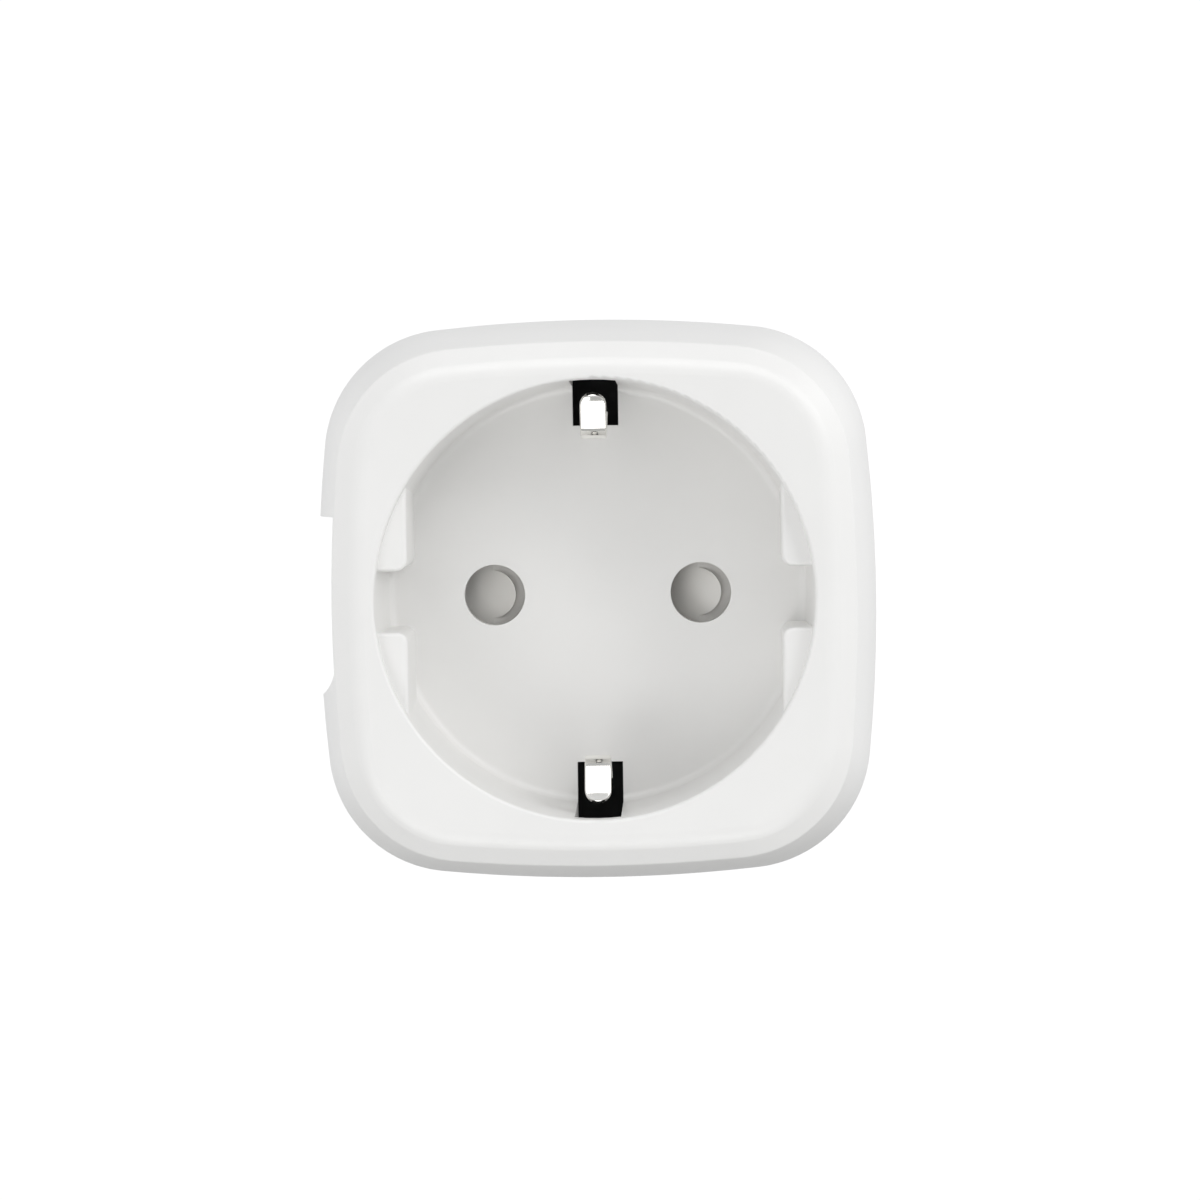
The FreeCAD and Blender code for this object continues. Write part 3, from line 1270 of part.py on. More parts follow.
def make_main_board():
    """The main circuit board, relieved round the posts, the pins and the earth lead."""
    board = block("main_board_block", ("-board_half_width", "board_half_width"),
                  ("board_back", "board_front"), ("-board_half", "board_half"))
    thickness = "board_front - board_back"
    holes = [rod(f"board_relief_{i}", "height", "board_relief", thickness, x, "board_back", z)
             for i, (x, z) in enumerate(CORNERS, start=1)]
    holes += [rod(f"board_pin_hole_{i}", "height", "pin_hole_radius", thickness, side, "board_back", "0")
              for i, side in enumerate(SIDES, start=1)]
    holes.append(block("board_lead_notch", ("-board_notch_half", "board_notch_half"),
                       ("board_back", "board_front"), ("board_notch_rise", "board_half")))
    node(cut("main_board_cut", board, *holes), "main_board")


def make_board_parts():
    """The square parts of the main board: the relay on the plug side, and the rest."""
    for name, (*_, on_front) in BOARD_PARTS.items():
        depth = (("board_front", f"board_front + {name}_depth") if on_front
                 else (f"board_back - {name}_depth", "board_back"))
        part = block(f"{name}_block", (f"{name}_left", f"{name}_right"), depth,
                     (f"{name}_low", f"{name}_high"))
        node(part, name)


def make_round_parts():
    """The round parts of the main board, all on the socket side."""
    cans = [rod(f"can_{i}", "height", "can_radius", "can_length", x, "board_front", "-can_rise")
            for i, x in enumerate(("can_offset", "-can_offset"), start=1)]
    node(group("can_pair", *cans), "bulk_capacitors")
    node(rod("varistor_disc", "x", "varistor_radius", "varistor_thickness", "varistor_left",
             "board_front + varistor_centre", "varistor_rise"), "varistor")
    node(rod("inductor_drum", "height", "inductor_radius", "inductor_length", "inductor_offset",
             "board_front", "inductor_rise"), "filter_inductor")
    node(rod("fuse_body", "z", "fuse_radius", "fuse_length", "fuse_offset",
             "board_front + fuse_radius + fuse_lift", "-fuse_low"), "fuse_resistor")


# ---------------------------------------------------------------- build, check and write

def build():
    make_front_cover()
    make_body_shell()
    make_rear_cover()
    make_screws()
    make_button()
    make_control_board()
    make_control_parts()
    make_shutter()
    make_retainer()
    make_shutter_spring()
    make_earth_contacts()
    make_clip_guides()
    make_earth_socket()
    make_earth_wire()
    make_contacts()
    make_plug_pins()
    make_main_board()
    make_board_parts()
    make_round_parts()
    doc.recompute()


def check():
    """Stop if any object failed to recompute, or any sub-part is empty or not valid."""
    for item in doc.Objects:
        if {"Invalid", "Error"} & set(item.State):
            raise RuntimeError(f"{item.Label} failed: {item.State}")
    for item in NODES:
        if item.Shape.isNull() or not item.Shape.isValid() or not item.Shape.Solids:
            raise RuntimeError(f"{item.Label} has no valid solid")
    labels = [item.Label for item in NODES]
    if len(set(labels)) != len(labels):
        raise RuntimeError("two sub-parts share a label")


def write():
    os.makedirs("parts", exist_ok=True)
    for item in NODES:
        item.Shape.exportStep(f"parts/{item.Label}.step")
        print(f"{item.Label}: {len(item.Shape.Solids)} solid(s), {item.Shape.Volume:.1f} mm3")


build()
check()
write()
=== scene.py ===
import json
from math import cos, pi, radians, sin, tan

import bmesh
import bpy
from mathutils import Matrix, Vector


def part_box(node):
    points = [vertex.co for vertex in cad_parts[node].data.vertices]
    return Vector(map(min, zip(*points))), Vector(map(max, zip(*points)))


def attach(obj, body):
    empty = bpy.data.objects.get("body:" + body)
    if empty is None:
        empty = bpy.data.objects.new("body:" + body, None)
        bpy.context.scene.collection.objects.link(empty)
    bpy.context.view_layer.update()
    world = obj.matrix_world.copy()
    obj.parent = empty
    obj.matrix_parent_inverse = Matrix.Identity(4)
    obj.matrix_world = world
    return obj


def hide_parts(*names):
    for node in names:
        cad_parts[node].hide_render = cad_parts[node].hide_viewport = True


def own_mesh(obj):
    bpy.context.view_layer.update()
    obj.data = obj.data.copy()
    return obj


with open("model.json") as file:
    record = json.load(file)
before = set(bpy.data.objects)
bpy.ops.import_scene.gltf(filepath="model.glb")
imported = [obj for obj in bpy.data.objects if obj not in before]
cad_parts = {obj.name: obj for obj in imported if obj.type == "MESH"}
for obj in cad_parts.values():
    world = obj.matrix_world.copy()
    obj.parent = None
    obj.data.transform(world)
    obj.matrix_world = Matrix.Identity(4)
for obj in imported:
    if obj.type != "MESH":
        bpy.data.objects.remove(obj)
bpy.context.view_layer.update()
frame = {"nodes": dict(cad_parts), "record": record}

MM = 0.001


# ---- materials

PLASTIC_IOR = 1.49


def feed(tree, node, inputs):
    """Give a node's inputs, by name or number, a constant or another node's output."""
    for name, value in inputs.items():
        if isinstance(value, bpy.types.NodeSocket):
            tree.links.new(value, node.inputs[name])
        else:
            node.inputs[name].default_value = value


def add_node(tree, kind, inputs=None, **settings):
    node = tree.nodes.new(kind)
    for name, value in settings.items():
        setattr(node, name, value)
    feed(tree, node, inputs or {})
    return node


def new_material(name):
    """A material with its Principled shader, and the object's own coordinates in metres."""
    material = bpy.data.materials.new(name)
    material.use_nodes = True
    tree = material.node_tree
    tree.nodes.clear()
    shader = add_node(tree, "ShaderNodeBsdfPrincipled")
    add_node(tree, "ShaderNodeOutputMaterial", {"Surface": shader.outputs["BSDF"]})
    return material, tree, shader, add_node(tree, "ShaderNodeTexCoord").outputs["Object"]


def add_noise(tree, place, cell, detail=2.0, stretch=(1, 1, 1)):
    """A noise texture whose cells are about `cell` millimetres across."""
    mapping = add_node(tree, "ShaderNodeMapping", {"Vector": place, "Scale": stretch})
    inputs = {"Vector": mapping.outputs["Vector"], "Scale": 1 / (cell * MM), "Detail": detail}
    return add_node(tree, "ShaderNodeTexNoise", inputs).outputs["Fac"]


def add_range(tree, value, low, high, start=0.35, end=0.65):
    """Spread the part of a value between start and end over low to high."""
    inputs = {"Value": value, "From Min": start, "From Max": end, "To Min": low, "To Max": high}
    return add_node(tree, "ShaderNodeMapRange", inputs).outputs["Result"]


def add_mix(tree, factor, first, second):
    """Mix two colours by a value; either may be a colour or a socket."""
    first, second = ((*end, 1.0) if isinstance(end, tuple) else end for end in (first, second))
    inputs = {"Factor": factor, "A": first, "B": second}
    return add_node(tree, "ShaderNodeMix", inputs, data_type="RGBA").outputs["Result"]


def add_shades(tree, value, colour, share):
    """A colour that goes down to a share of itself with a noise value."""
    return add_mix(tree, add_range(tree, value, 0, 1), colour, tuple(channel * share for channel in colour))


def add_bump(tree, value, depth):
    """Relief of `depth` millimetres from a value."""
    inputs = {"Height": value, "Distance": depth * MM, "Strength": 1.0}
    return add_node(tree, "ShaderNodeBump", inputs).outputs["Normal"]


def moulded_plastic(name, colour, roughness, grain=0.22, relief=0.004, tint=0.02):
    """Injection-moulded plastic: spark-eroded grain, slight flow tint and uneven gloss."""
    material, tree, shader, place = new_material(name)
    patches = add_noise(tree, place, 2.5, 4.0)
    feed(tree, shader, {
        "Base Color": add_shades(tree, add_noise(tree, place, 14, 3.0), colour, 1 - tint),
        "Roughness": add_range(tree, patches, roughness - 0.04, roughness + 0.05),
        "Normal": add_bump(tree, add_noise(tree, place, grain, 3.0), relief),
        "IOR": PLASTIC_IOR,
    })
    return material


def plated_metal(name, colour, roughness, along=(1, 1, 1), relief=0.001):
    """Plated or drawn metal with fine lines along one axis and faint cloudiness."""
    material, tree, shader, place = new_material(name)
    lines = add_noise(tree, place, 0.12, 2.0, along)
    feed(tree, shader, {
        "Base Color": add_shades(tree, add_noise(tree, place, 1.6, 3.0), colour, 0.95),
        "Roughness": add_range(tree, lines, roughness * 0.8, roughness * 1.25),
        "Normal": add_bump(tree, lines, relief),
        "Metallic": 1.0,
    })
    return material


def clear_resin(name, colour, roughness):
    """Cast clear plastic with a faint haze."""
    material, tree, shader, place = new_material(name)
    haze = add_noise(tree, place, 0.6, 3.0)
    feed(tree, shader, {
        "Base Color": add_shades(tree, haze, colour, 0.9),
        "Roughness": add_range(tree, haze, roughness, roughness + 0.15),
        "Transmission Weight": 0.85,
        "IOR": PLASTIC_IOR,
    })
    return material


def solder_mask(name, colour, copper):
    """Glossy solder mask: straight tracks both ways in some areas, filled copper in others."""
    material, tree, shader, place = new_material(name)
    relief = add_range(tree, add_noise(tree, place, 7, 0.0), 0, 1, 0.50, 0.503)
    for direction, cell, start in (("X", 9, 0.50), ("Z", 8, 0.54)):
        lines = add_node(tree, "ShaderNodeTexWave", {"Vector": place, "Scale": 0.05 / (0.35 * MM)},
                         bands_direction=direction, wave_profile="SIN")
        track = add_range(tree, lines.outputs["Fac"], 0, 1, 0.52, 0.6)
        area = add_range(tree, add_noise(tree, place, cell, 0.0, (1.3, 1.0, 0.8)), 0, 1, start, start + 0.003)
        relief = add_mix(tree, area, relief, track)
    feed(tree, shader, {
        "Base Color": add_mix(tree, relief, colour, copper),
        "Roughness": add_range(tree, add_noise(tree, place, 1.5, 3.0), 0.18, 0.34),
        "Normal": add_bump(tree, relief, 0.03),
        "Coat Weight": 0.4,
    })
    return material


PLASTICS = {
    # colour and roughness, then grain and relief in millimetres, and how much the flow darkens it
    "white_plastic": ((0.925, 0.920, 0.905), 0.36),
    "button_plastic": ((0.85, 0.845, 0.83), 0.42, 0.16),
    "shutter_plastic": ((0.86, 0.845, 0.81), 0.45, 0.18),
    "retainer_plastic": ((0.55, 0.55, 0.54), 0.5, 0.3),
    "black_plastic": ((0.004, 0.004, 0.0045), 0.6, 0.15, 0.004, 0.3),
    "laminate_edge": ((0.42, 0.40, 0.20), 0.6, 0.1, 0.004, 0.2),
    "ceramic_white": ((0.78, 0.77, 0.72), 0.3, 0.05, 0.002),
    "ferrite": ((0.035, 0.035, 0.04), 0.6, 0.1, 0.01, 0.3),
    "rubber": ((0.02, 0.02, 0.02), 0.75, 0.2, 0.01, 0.2),
    "relay_case": ((0.015, 0.075, 0.28), 0.3, 0.2, 0.004, 0.12),
    "capacitor_sleeve": ((0.012, 0.018, 0.045), 0.28, 0.5, 0.004, 0.2),
    "film_capacitor_case": ((0.74, 0.47, 0.04), 0.34, 0.22, 0.004, 0.08),
    "varistor_coat": ((0.02, 0.09, 0.36), 0.26, 1.1, 0.05, 0.15),
    "fuse_coat": ((0.10, 0.28, 0.15), 0.5, 0.25, 0.015, 0.15),
    "band_brown": ((0.12, 0.045, 0.015), 0.45, 0.22, 0.004, 0.1),
    "band_gold": ((0.45, 0.30, 0.08), 0.35, 0.22, 0.004, 0.1),
    "earth_green": ((0.03, 0.24, 0.05), 0.36, 0.22, 0.004, 0.08),
    "earth_yellow": ((0.75, 0.60, 0.03), 0.36, 0.22, 0.004, 0.06),
}
METALS = {
    # colour and roughness, then the stretch of the drawn lines, and relief in millimetres
    "nickel": ((0.90, 0.89, 0.86), 0.09, (1, 1, 1), 0.0004),
    "pin_nickel": ((0.80, 0.79, 0.76), 0.2, (1, 0.08, 1)),
    "tin": ((0.72, 0.72, 0.70), 0.36),
    "gold": ((0.93, 0.72, 0.34), 0.22),
    "brass": ((0.82, 0.62, 0.32), 0.27),
    "copper": ((0.84, 0.42, 0.26), 0.26),
    "aluminium": ((0.78, 0.79, 0.80), 0.3),
    "zinc_steel": ((0.64, 0.66, 0.69), 0.3),
    "spring_steel": ((0.52, 0.53, 0.56), 0.28),
    "shunt_metal": ((0.62, 0.50, 0.42), 0.34),
}
RESINS = {
    # colour and roughness
    "clear_plastic": ((0.90, 0.93, 0.95), 0.12),
    "led_lens": ((0.95, 0.93, 0.78), 0.08),
}
BOARD_GREEN = (0.018, 0.115, 0.052)
TRACK_GREEN = (0.04, 0.20, 0.085)
FINISHES = {"circuit_board": solder_mask("circuit_board", BOARD_GREEN, TRACK_GREEN)}
for make_finish, table in ((moulded_plastic, PLASTICS), (plated_metal, METALS), (clear_resin, RESINS)):
    for name, values in table.items():
        FINISHES[name] = make_finish(name, *values)


# ---- mesh building, in millimetres

X_AXIS = Vector((1, 0, 0))
Y_AXIS = Vector((0, 1, 0))
Z_AXIS = Vector((0, 0, 1))
BOARD_FRONT_Y = -4.2
BOARD_BACK_Y = -2.6
LEAD_END = 0.7
JOIN_WITHIN = 0.0005
joints_on_boards = []
slots = {part["node"]: part["material_slot"] for part in frame["record"]["subparts"]}


def node_box(name):
    """The lowest and highest corners of a CAD node, in millimetres."""
    low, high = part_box(name)
    return low / MM, high / MM


def new_piece():
    return bmesh.new()


def start_piece(name):
    """An empty piece, and the corners of the CAD node it stands for."""
    return new_piece(), *node_box(name)


def paint(faces, finish):
    for face in faces:
        face.material_index = finish


def add_rings(piece, rings, finish=0, caps=True):
    """Skin a row of rings that all have the same number of points."""
    rows = [[piece.verts.new(point) for point in ring] for ring in rings]
    faces = []
    for first, second in zip(rows, rows[1:]):
        for i, corner in enumerate(first):
            j = (i + 1) % len(first)
            faces.append(piece.faces.new((corner, first[j], second[j], second[i])))
    if caps:
        faces.append(piece.faces.new(list(reversed(rows[0]))))
        faces.append(piece.faces.new(rows[-1]))
    paint(faces, finish)
    return faces


def circle_frame(axis):
    """Two directions square to an axis."""
    across = Z_AXIS if abs(axis.z) < 0.9 else X_AXIS
    return across, axis.cross(across)


def add_lathe(piece, profile, at, axis, finish=0, segments=48):
    """Turn (radius, distance along the axis) pairs about an axis through a point."""
    at = Vector(at)
    across, up = circle_frame(axis)
    turns = [2 * pi * i / segments for i in range(segments)]
    rings = [[at + axis * along + (across * cos(turn) + up * sin(turn)) * max(radius, 0.001)
              for turn in turns] for radius, along in profile]
    add_rings(piece, rings, finish)


def add_sector(piece, loop, at, axis, start, stop, finish=0, steps=10):
    """Turn a closed loop of (radius, distance) pairs through part of a circle, in degrees."""
    across, up = circle_frame(axis)
    rings = []
    for step in range(steps + 1):
        turn = radians(start + (stop - start) * step / steps)
        out = across * cos(turn) + up * sin(turn)
        rings.append([at + axis * along + out * radius for radius, along in loop])
    add_rings(piece, rings, finish)


def add_box(piece, low, high, rounding=0.0, finish=0, segments=2):
    """A box between two corners, with rounded edges."""
    corners = bmesh.ops.create_cube(piece, size=1.0)["verts"]
    middle = (Vector(low) + Vector(high)) / 2
    size = Vector(high) - Vector(low)
    for corner in corners:
        corner.co = middle + corner.co * size
    paint({face for corner in corners for face in corner.link_faces}, finish)
    if rounding:
        edges = list({edge for corner in corners for edge in corner.link_edges})
        rounded = bmesh.ops.bevel(piece, geom=edges, offset=rounding, segments=segments,
                                  profile=0.5, affect="EDGES")
        paint(rounded["faces"], finish)


def fold(corners, bends, steps=8):
    """A path through corners, each but the ends rounded to its own radius."""
    path = [Vector(corners[0])]
    for before, corner, after, bend in zip(corners, corners[1:], corners[2:], bends):
        corner = Vector(corner)
        to_before = (Vector(before) - corner).normalized()
        to_after = (Vector(after) - corner).normalized()
        half = to_before.angle(to_after) / 2
        centre = corner + (to_before + to_after).normalized() * bend / sin(half)
        first = corner + to_before * bend / tan(half) - centre
        last = corner + to_after * bend / tan(half) - centre
        path += [centre + first.slerp(last, step / steps) * bend for step in range(steps + 1)]
    path.append(Vector(corners[-1]))
    return path


def add_sweep(piece, path, section, finish=0, side=None, widths=None):
    """Sweep a section of (across, up) pairs along a path; side fixes the across direction."""
    across = side or (path[1] - path[0]).orthogonal().normalized()
    rings = []
    for i, point in enumerate(path):
        ahead = (path[min(i + 1, len(path) - 1)] - path[max(i - 1, 0)]).normalized()
        if not side:
            across = (across - ahead * across.dot(ahead)).normalized()
        up = ahead.cross(across)
        width = widths[i] if widths else 1.0
        rings.append([point + across * x * width + up * y for x, y in section])
    return add_rings(piece, rings, finish)


def round_section(radius, count=12):
    turns = [2 * pi * i / count for i in range(count)]
    return [(radius * cos(turn), radius * sin(turn)) for turn in turns]


def flat_section(half_width, thickness, edge=0.14, steps=3):
    """A flat strip's section with rounded edges."""
    section = []
    for quarter, (x, y) in enumerate(((1, 1), (-1, 1), (-1, -1), (1, -1))):
        for step in range(steps + 1):
            turn = (quarter + step / steps) * pi / 2
            section.append((x * (half_width - edge) + edge * cos(turn),
                            y * (thickness / 2 - edge) + edge * sin(turn)))
    return section


def round_tip(path, radius, steps=10):
    """Extend a path's last run with close points, and give the widths that round its tip off."""
    ahead = (path[-1] - path[-2]).normalized()
    tip = path[-1]
    angles = [pi / 2 * step / steps for step in range(steps)] + [pi / 2 * 0.97]
    points = path[:-1] + [tip - ahead * radius * (1 - sin(angle)) for angle in angles]
    widths = [1.0] * (len(path) - 1) + [cos(angle) for angle in angles]
    return points, widths


def add_leads(piece, spots, start_y, finish, radius=0.3, end_y=BOARD_BACK_Y + LEAD_END):
    """Straight leads along Y into the main board, each with a solder joint on its far side."""
    for x, z in spots:
        run = end_y - start_y
        add_lathe(piece, [(radius, 0), (radius, run * 0.97), (radius * 0.6, run)],
                  (x, start_y, z), Y_AXIS, finish, 12)
        joints_on_boards.append((x, z, start_y < end_y))


def new_mesh(piece, name, scale=1.0):
    """Join a piece's close points, turn its faces outwards and make it a mesh."""
    bmesh.ops.remove_doubles(piece, verts=piece.verts, dist=JOIN_WITHIN)
    bmesh.ops.recalc_face_normals(piece, faces=piece.faces)
    bmesh.ops.scale(piece, vec=(scale, scale, scale), verts=piece.verts)
    mesh = bpy.data.meshes.new(name)
    piece.to_mesh(mesh)
    piece.free()
    return mesh


def new_object(name, data):
    thing = bpy.data.objects.new(name, data)
    bpy.context.scene.collection.objects.link(thing)
    return thing


def shade(mesh, finishes, sharp):
    """Give a mesh its finishes, smooth but for edges sharper than an angle in degrees."""
    for finish in finishes:
        mesh.materials.append(FINISHES[finish])
    mesh.shade_smooth()
    mesh.set_sharp_from_angle(angle=radians(sharp))


def finish_piece(piece, name, finishes, nodes=(), sharp=35, body="housing", slot=None):
    """An object that rides on a body and stands for its CAD nodes; its slot, theirs unless one is given, is
    looked up but not given to it.
    """
    slot = slot or slots[nodes[0]]
    mesh = new_mesh(piece, name, MM)
    shade(mesh, finishes, sharp)
    thing = new_object(name, mesh)
    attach(thing, body)
    if nodes:
        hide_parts(*nodes)
    return thing


# ---- camera and light

CAMERA_AT = Vector((11.4, -656.5, 19.6)) * MM
CAMERA_LOOKS_AT = Vector((0.35, -30.0, -0.3)) * MM
CAMERA_ROLL = radians(0.8)
CAMERA_LENS = 206.9
CAMERA_SENSOR = 36.0
CAMERA_NEAR = 0.01
# Brightness of the room by direction: level at the sides, slope and fall-off up and down, dip ahead
# and behind, and the least it goes down to.
ROOM_LEVEL = 1.18
ROOM_SLOPE = 0.30
ROOM_FALL = 1.0
ROOM_DIP = 0.50
ROOM_LEAST = 0.05
ROOM_TINT = (0.985, 0.99, 1.0, 1)
BACKDROP = 1.05
FLOOR_Z = -0.2
SOFTBOXES = {
    # where it stands, its size, both in metres, and its power
    "key": ((0.62, -0.58, 0.44), (0.40, 0.40), 2.0),
    "low": ((-0.12, -0.30, -0.17), (0.16, 0.16), 0.26),
}
CARDS = {
    # white cards that show only in reflections: where, size and power
    "low_card": ((0.0, -0.150, -0.135), (0.16, 0.07), 0.09),
    "high_card": ((0.0, -0.150, 0.135), (0.16, 0.07), 0.09),
}
SOFTBOX_AIM = (0, -0.02, 0)
CARD_AIM_Y = -0.032
CARD_AIM_Z = 0.016


def make_camera():
    data = bpy.data.cameras.new("camera")
    data.lens = CAMERA_LENS
    data.sensor_width = CAMERA_SENSOR
    data.clip_start = CAMERA_NEAR
    camera = new_object("camera", data)
    view = (CAMERA_LOOKS_AT - CAMERA_AT).to_track_quat("-Z", "Y").to_matrix().to_4x4()
    camera.matrix_world = Matrix.Translation(CAMERA_AT) @ view @ Matrix.Rotation(-CAMERA_ROLL, 4, "Z")
    bpy.context.scene.camera = camera


def add_softbox(name, at, look_at, size, watts):
    data = bpy.data.lights.new(name, "AREA")
    data.shape = "RECTANGLE"
    data.size, data.size_y = size
    data.energy = watts
    light = new_object(name, data)
    light.location = at
    light.rotation_euler = (Vector(look_at) - Vector(at)).to_track_quat("-Z", "Y").to_euler()
    return light


def make_studio():
    """A white room, dimmer below, with two softboxes and the cards that the earth clips reflect."""
    world = bpy.data.worlds.new("studio")
    bpy.context.scene.world = world
    world.use_nodes = True
    tree = world.node_tree
    tree.nodes.clear()
    direction = add_node(tree, "ShaderNodeTexCoord").outputs["Generated"]
    axes = add_node(tree, "ShaderNodeSeparateXYZ", {"Vector": direction}).outputs

    def add_math(kind, *values):
        return add_node(tree, "ShaderNodeMath", dict(enumerate(values)), operation=kind).outputs["Value"]

    # level + height * (slope - fall * height) - dip * depth * depth
    slope = add_math("MULTIPLY_ADD", axes["Z"], -ROOM_FALL, ROOM_SLOPE)
    level = add_math("MULTIPLY_ADD", axes["Z"], slope, ROOM_LEVEL)
    dip = add_math("MULTIPLY_ADD", axes["Y"], -ROOM_DIP, 0.0)
    level = add_math("MAXIMUM", add_math("MULTIPLY_ADD", axes["Y"], dip, level), ROOM_LEAST)
    fill = add_node(tree, "ShaderNodeBackground", {"Color": ROOM_TINT, "Strength": level})
    seen = add_node(tree, "ShaderNodeBackground", {"Color": (1, 1, 1, 1), "Strength": BACKDROP})
    mix = add_node(tree, "ShaderNodeMixShader", {
        "Fac": add_node(tree, "ShaderNodeLightPath").outputs["Is Camera Ray"],
        1: fill.outputs["Background"],
        2: seen.outputs["Background"],
    })
    add_node(tree, "ShaderNodeOutputWorld", {"Surface": mix.outputs["Shader"]})
    for name, (place, size, watts) in SOFTBOXES.items():
        add_softbox(name, place, SOFTBOX_AIM, size, watts)
    for name, (place, size, watts) in CARDS.items():
        aim = (0, CARD_AIM_Y, -CARD_AIM_Z if place[2] > 0 else CARD_AIM_Z)
        card = add_softbox(name, place, aim, size, watts)
        card.visible_diffuse = False
        card.visible_transmission = False
    bpy.context.scene.view_settings.view_transform = "Standard"


def make_floor():
    mesh = bpy.data.meshes.new("floor")
    mesh.from_pydata([(-1.2, -0.9, 0), (1.2, -0.9, 0), (1.2, 0.45, 0), (-1.2, 0.45, 0)], [], [(0, 1, 2, 3)])
    mesh.materials.append(moulded_plastic("floor_paper", (0.50, 0.50, 0.495), 0.8, 0.6, 0.01))
    floor = new_object("floor", mesh)
    floor.location = (0, 0, FLOOR_Z)


# ---- CAD nodes that keep their shape

KEPT = ["front_cover", "body_shell", "rear_cover", "shutter", "shutter_retainer", "clip_guide_top",
        "clip_guide_bottom"]
BOARDS = {"main_board": 1, "control_board": 0}  # the axis each is thin along
KEPT_SHARP = 28


def dress_kept_nodes():
    """Give the CAD nodes that stay their finishes; a board's edges show its laminate."""
    for name in KEPT + list(BOARDS):
        mesh = frame["nodes"][name].data
        mesh.materials.clear()
        shade(mesh, [slots[name]], KEPT_SHARP)
    for name, thin_axis in BOARDS.items():
        mesh = frame["nodes"][name].data
        mesh.materials.append(FINISHES["laminate_edge"])
        for face in mesh.polygons:
            face.material_index = 0 if abs(face.normal[thin_axis]) > 0.5 else 1


# ---- screws

SCREW_SIZES = {
    # radius, head radius, head height, thread pitch
    "housing_screws": (1.2, 2.4, 1.4, 1.0),
    "retainer_screws": (0.9, 1.8, 1.2, 0.75),
}
HEAD_CROWN = 0.35


def quarter_turn(steps):
    """The cosine and sine of even steps through a quarter turn, with both ends."""
    turns = [pi / 2 * i / steps for i in range(steps + 1)]
    return [(cos(turn), sin(turn)) for turn in turns]


def cross_recess_head(head_radius, head):
    """A pan head on the Y axis, its seat at zero, with a cross recess cut into it."""
    blank = new_piece()
    rim = [(head_radius * x, head * (1 - HEAD_CROWN) + head * HEAD_CROWN * y)
           for x, y in quarter_turn(8)[:-1]]
    add_lathe(blank, [(head_radius * 0.94, 0), (head_radius, head * 0.08)] + rim + [(0, head)], Vector(),
              Y_AXIS)
    cutter = new_piece()
    reach = head_radius * 0.58
    half = head_radius * 0.13
    for wide, tall in ((reach, half), (half, reach)):
        top = [(wide, tall), (-wide, tall), (-wide, -tall), (wide, -tall)]
        add_rings(cutter, [[(x * scale, y, z * scale) for x, z in top]
                           for y, scale in ((head * 0.4, 0.72), (head * 1.2, 1.1))])
    things = [new_object("screw_work", new_mesh(shape, "screw_work")) for shape in (blank, cutter)]
    recess = things[0].modifiers.new("recess", "BOOLEAN")
    recess.operation = "DIFFERENCE"
    recess.solver = "EXACT"
    recess.use_self = True
    recess.object = things[1]
    bpy.context.view_layer.update()
    done = bpy.data.meshes.new_from_object(things[0].evaluated_get(bpy.context.evaluated_depsgraph_get()))
    for thing in things:
        bpy.data.objects.remove(thing)
    return done


def add_thread(piece, at, length, radius, pitch, depth=0.16, segments=24, per_turn=10):
    """A threaded shank that runs from a point towards the room, with a tapered end."""
    rings = []
    count = int(length / pitch * per_turn)
    for step in range(count + 1):
        along = length * step / count
        taper = min(1.0, (length - along) / (1.5 * pitch) + 0.45)
        ring = []
        for i in range(segments):
            phase = (along / pitch - i / segments) % 1.0
            crest = max(0.0, 1 - abs(2 * phase - 1) * 1.6) if along > pitch / 2 else 0.0
            reach = (radius * (1 - depth) + radius * depth * crest) * taper
            turn = 2 * pi * i / segments
            ring.append(at + Vector((reach * cos(turn), -along, reach * sin(turn))))
        rings.append(ring)
    add_rings(piece, rings)


def make_screws():
    for name, (radius, head_radius, head, pitch) in SCREW_SIZES.items():
        piece, low, high = start_piece(name)
        cap = cross_recess_head(head_radius, head)
        seat = high.y - head
        middle = (low + high) / 2
        reach = (high - low) / 2 - Vector((head_radius, 0, head_radius))
        corners = [(x, z) for x in (-1, 1) for z in (-1, 1)]
        for x, z in corners if name == "housing_screws" else [(1, 1), (-1, -1)]:
            at = Vector((middle.x + x * reach.x, seat, middle.z + z * reach.z))
            add_thread(piece, at, seat - low.y, radius, pitch)
            known = len(piece.verts)
            piece.from_mesh(cap)
            piece.verts.ensure_lookup_table()
            bmesh.ops.translate(piece, vec=at, verts=piece.verts[known:])
        finish_piece(piece, f"{name}_threaded", ["zinc_steel"], [name], 30)


# ---- button and its lamp

def pill_ring(x, centre, half_width, half_length, count=56):
    """A pill-shaped ring in the plane of X, long in Z."""
    straight = half_length - half_width
    ring = []
    for i in range(count):
        turn = 2 * pi * (i + 0.5) / count
        lift = straight if sin(turn) > 0 else -straight
        ring.append(Vector((x, centre.y + half_width * cos(turn),
                            centre.z + lift + half_width * sin(turn))))
    return ring


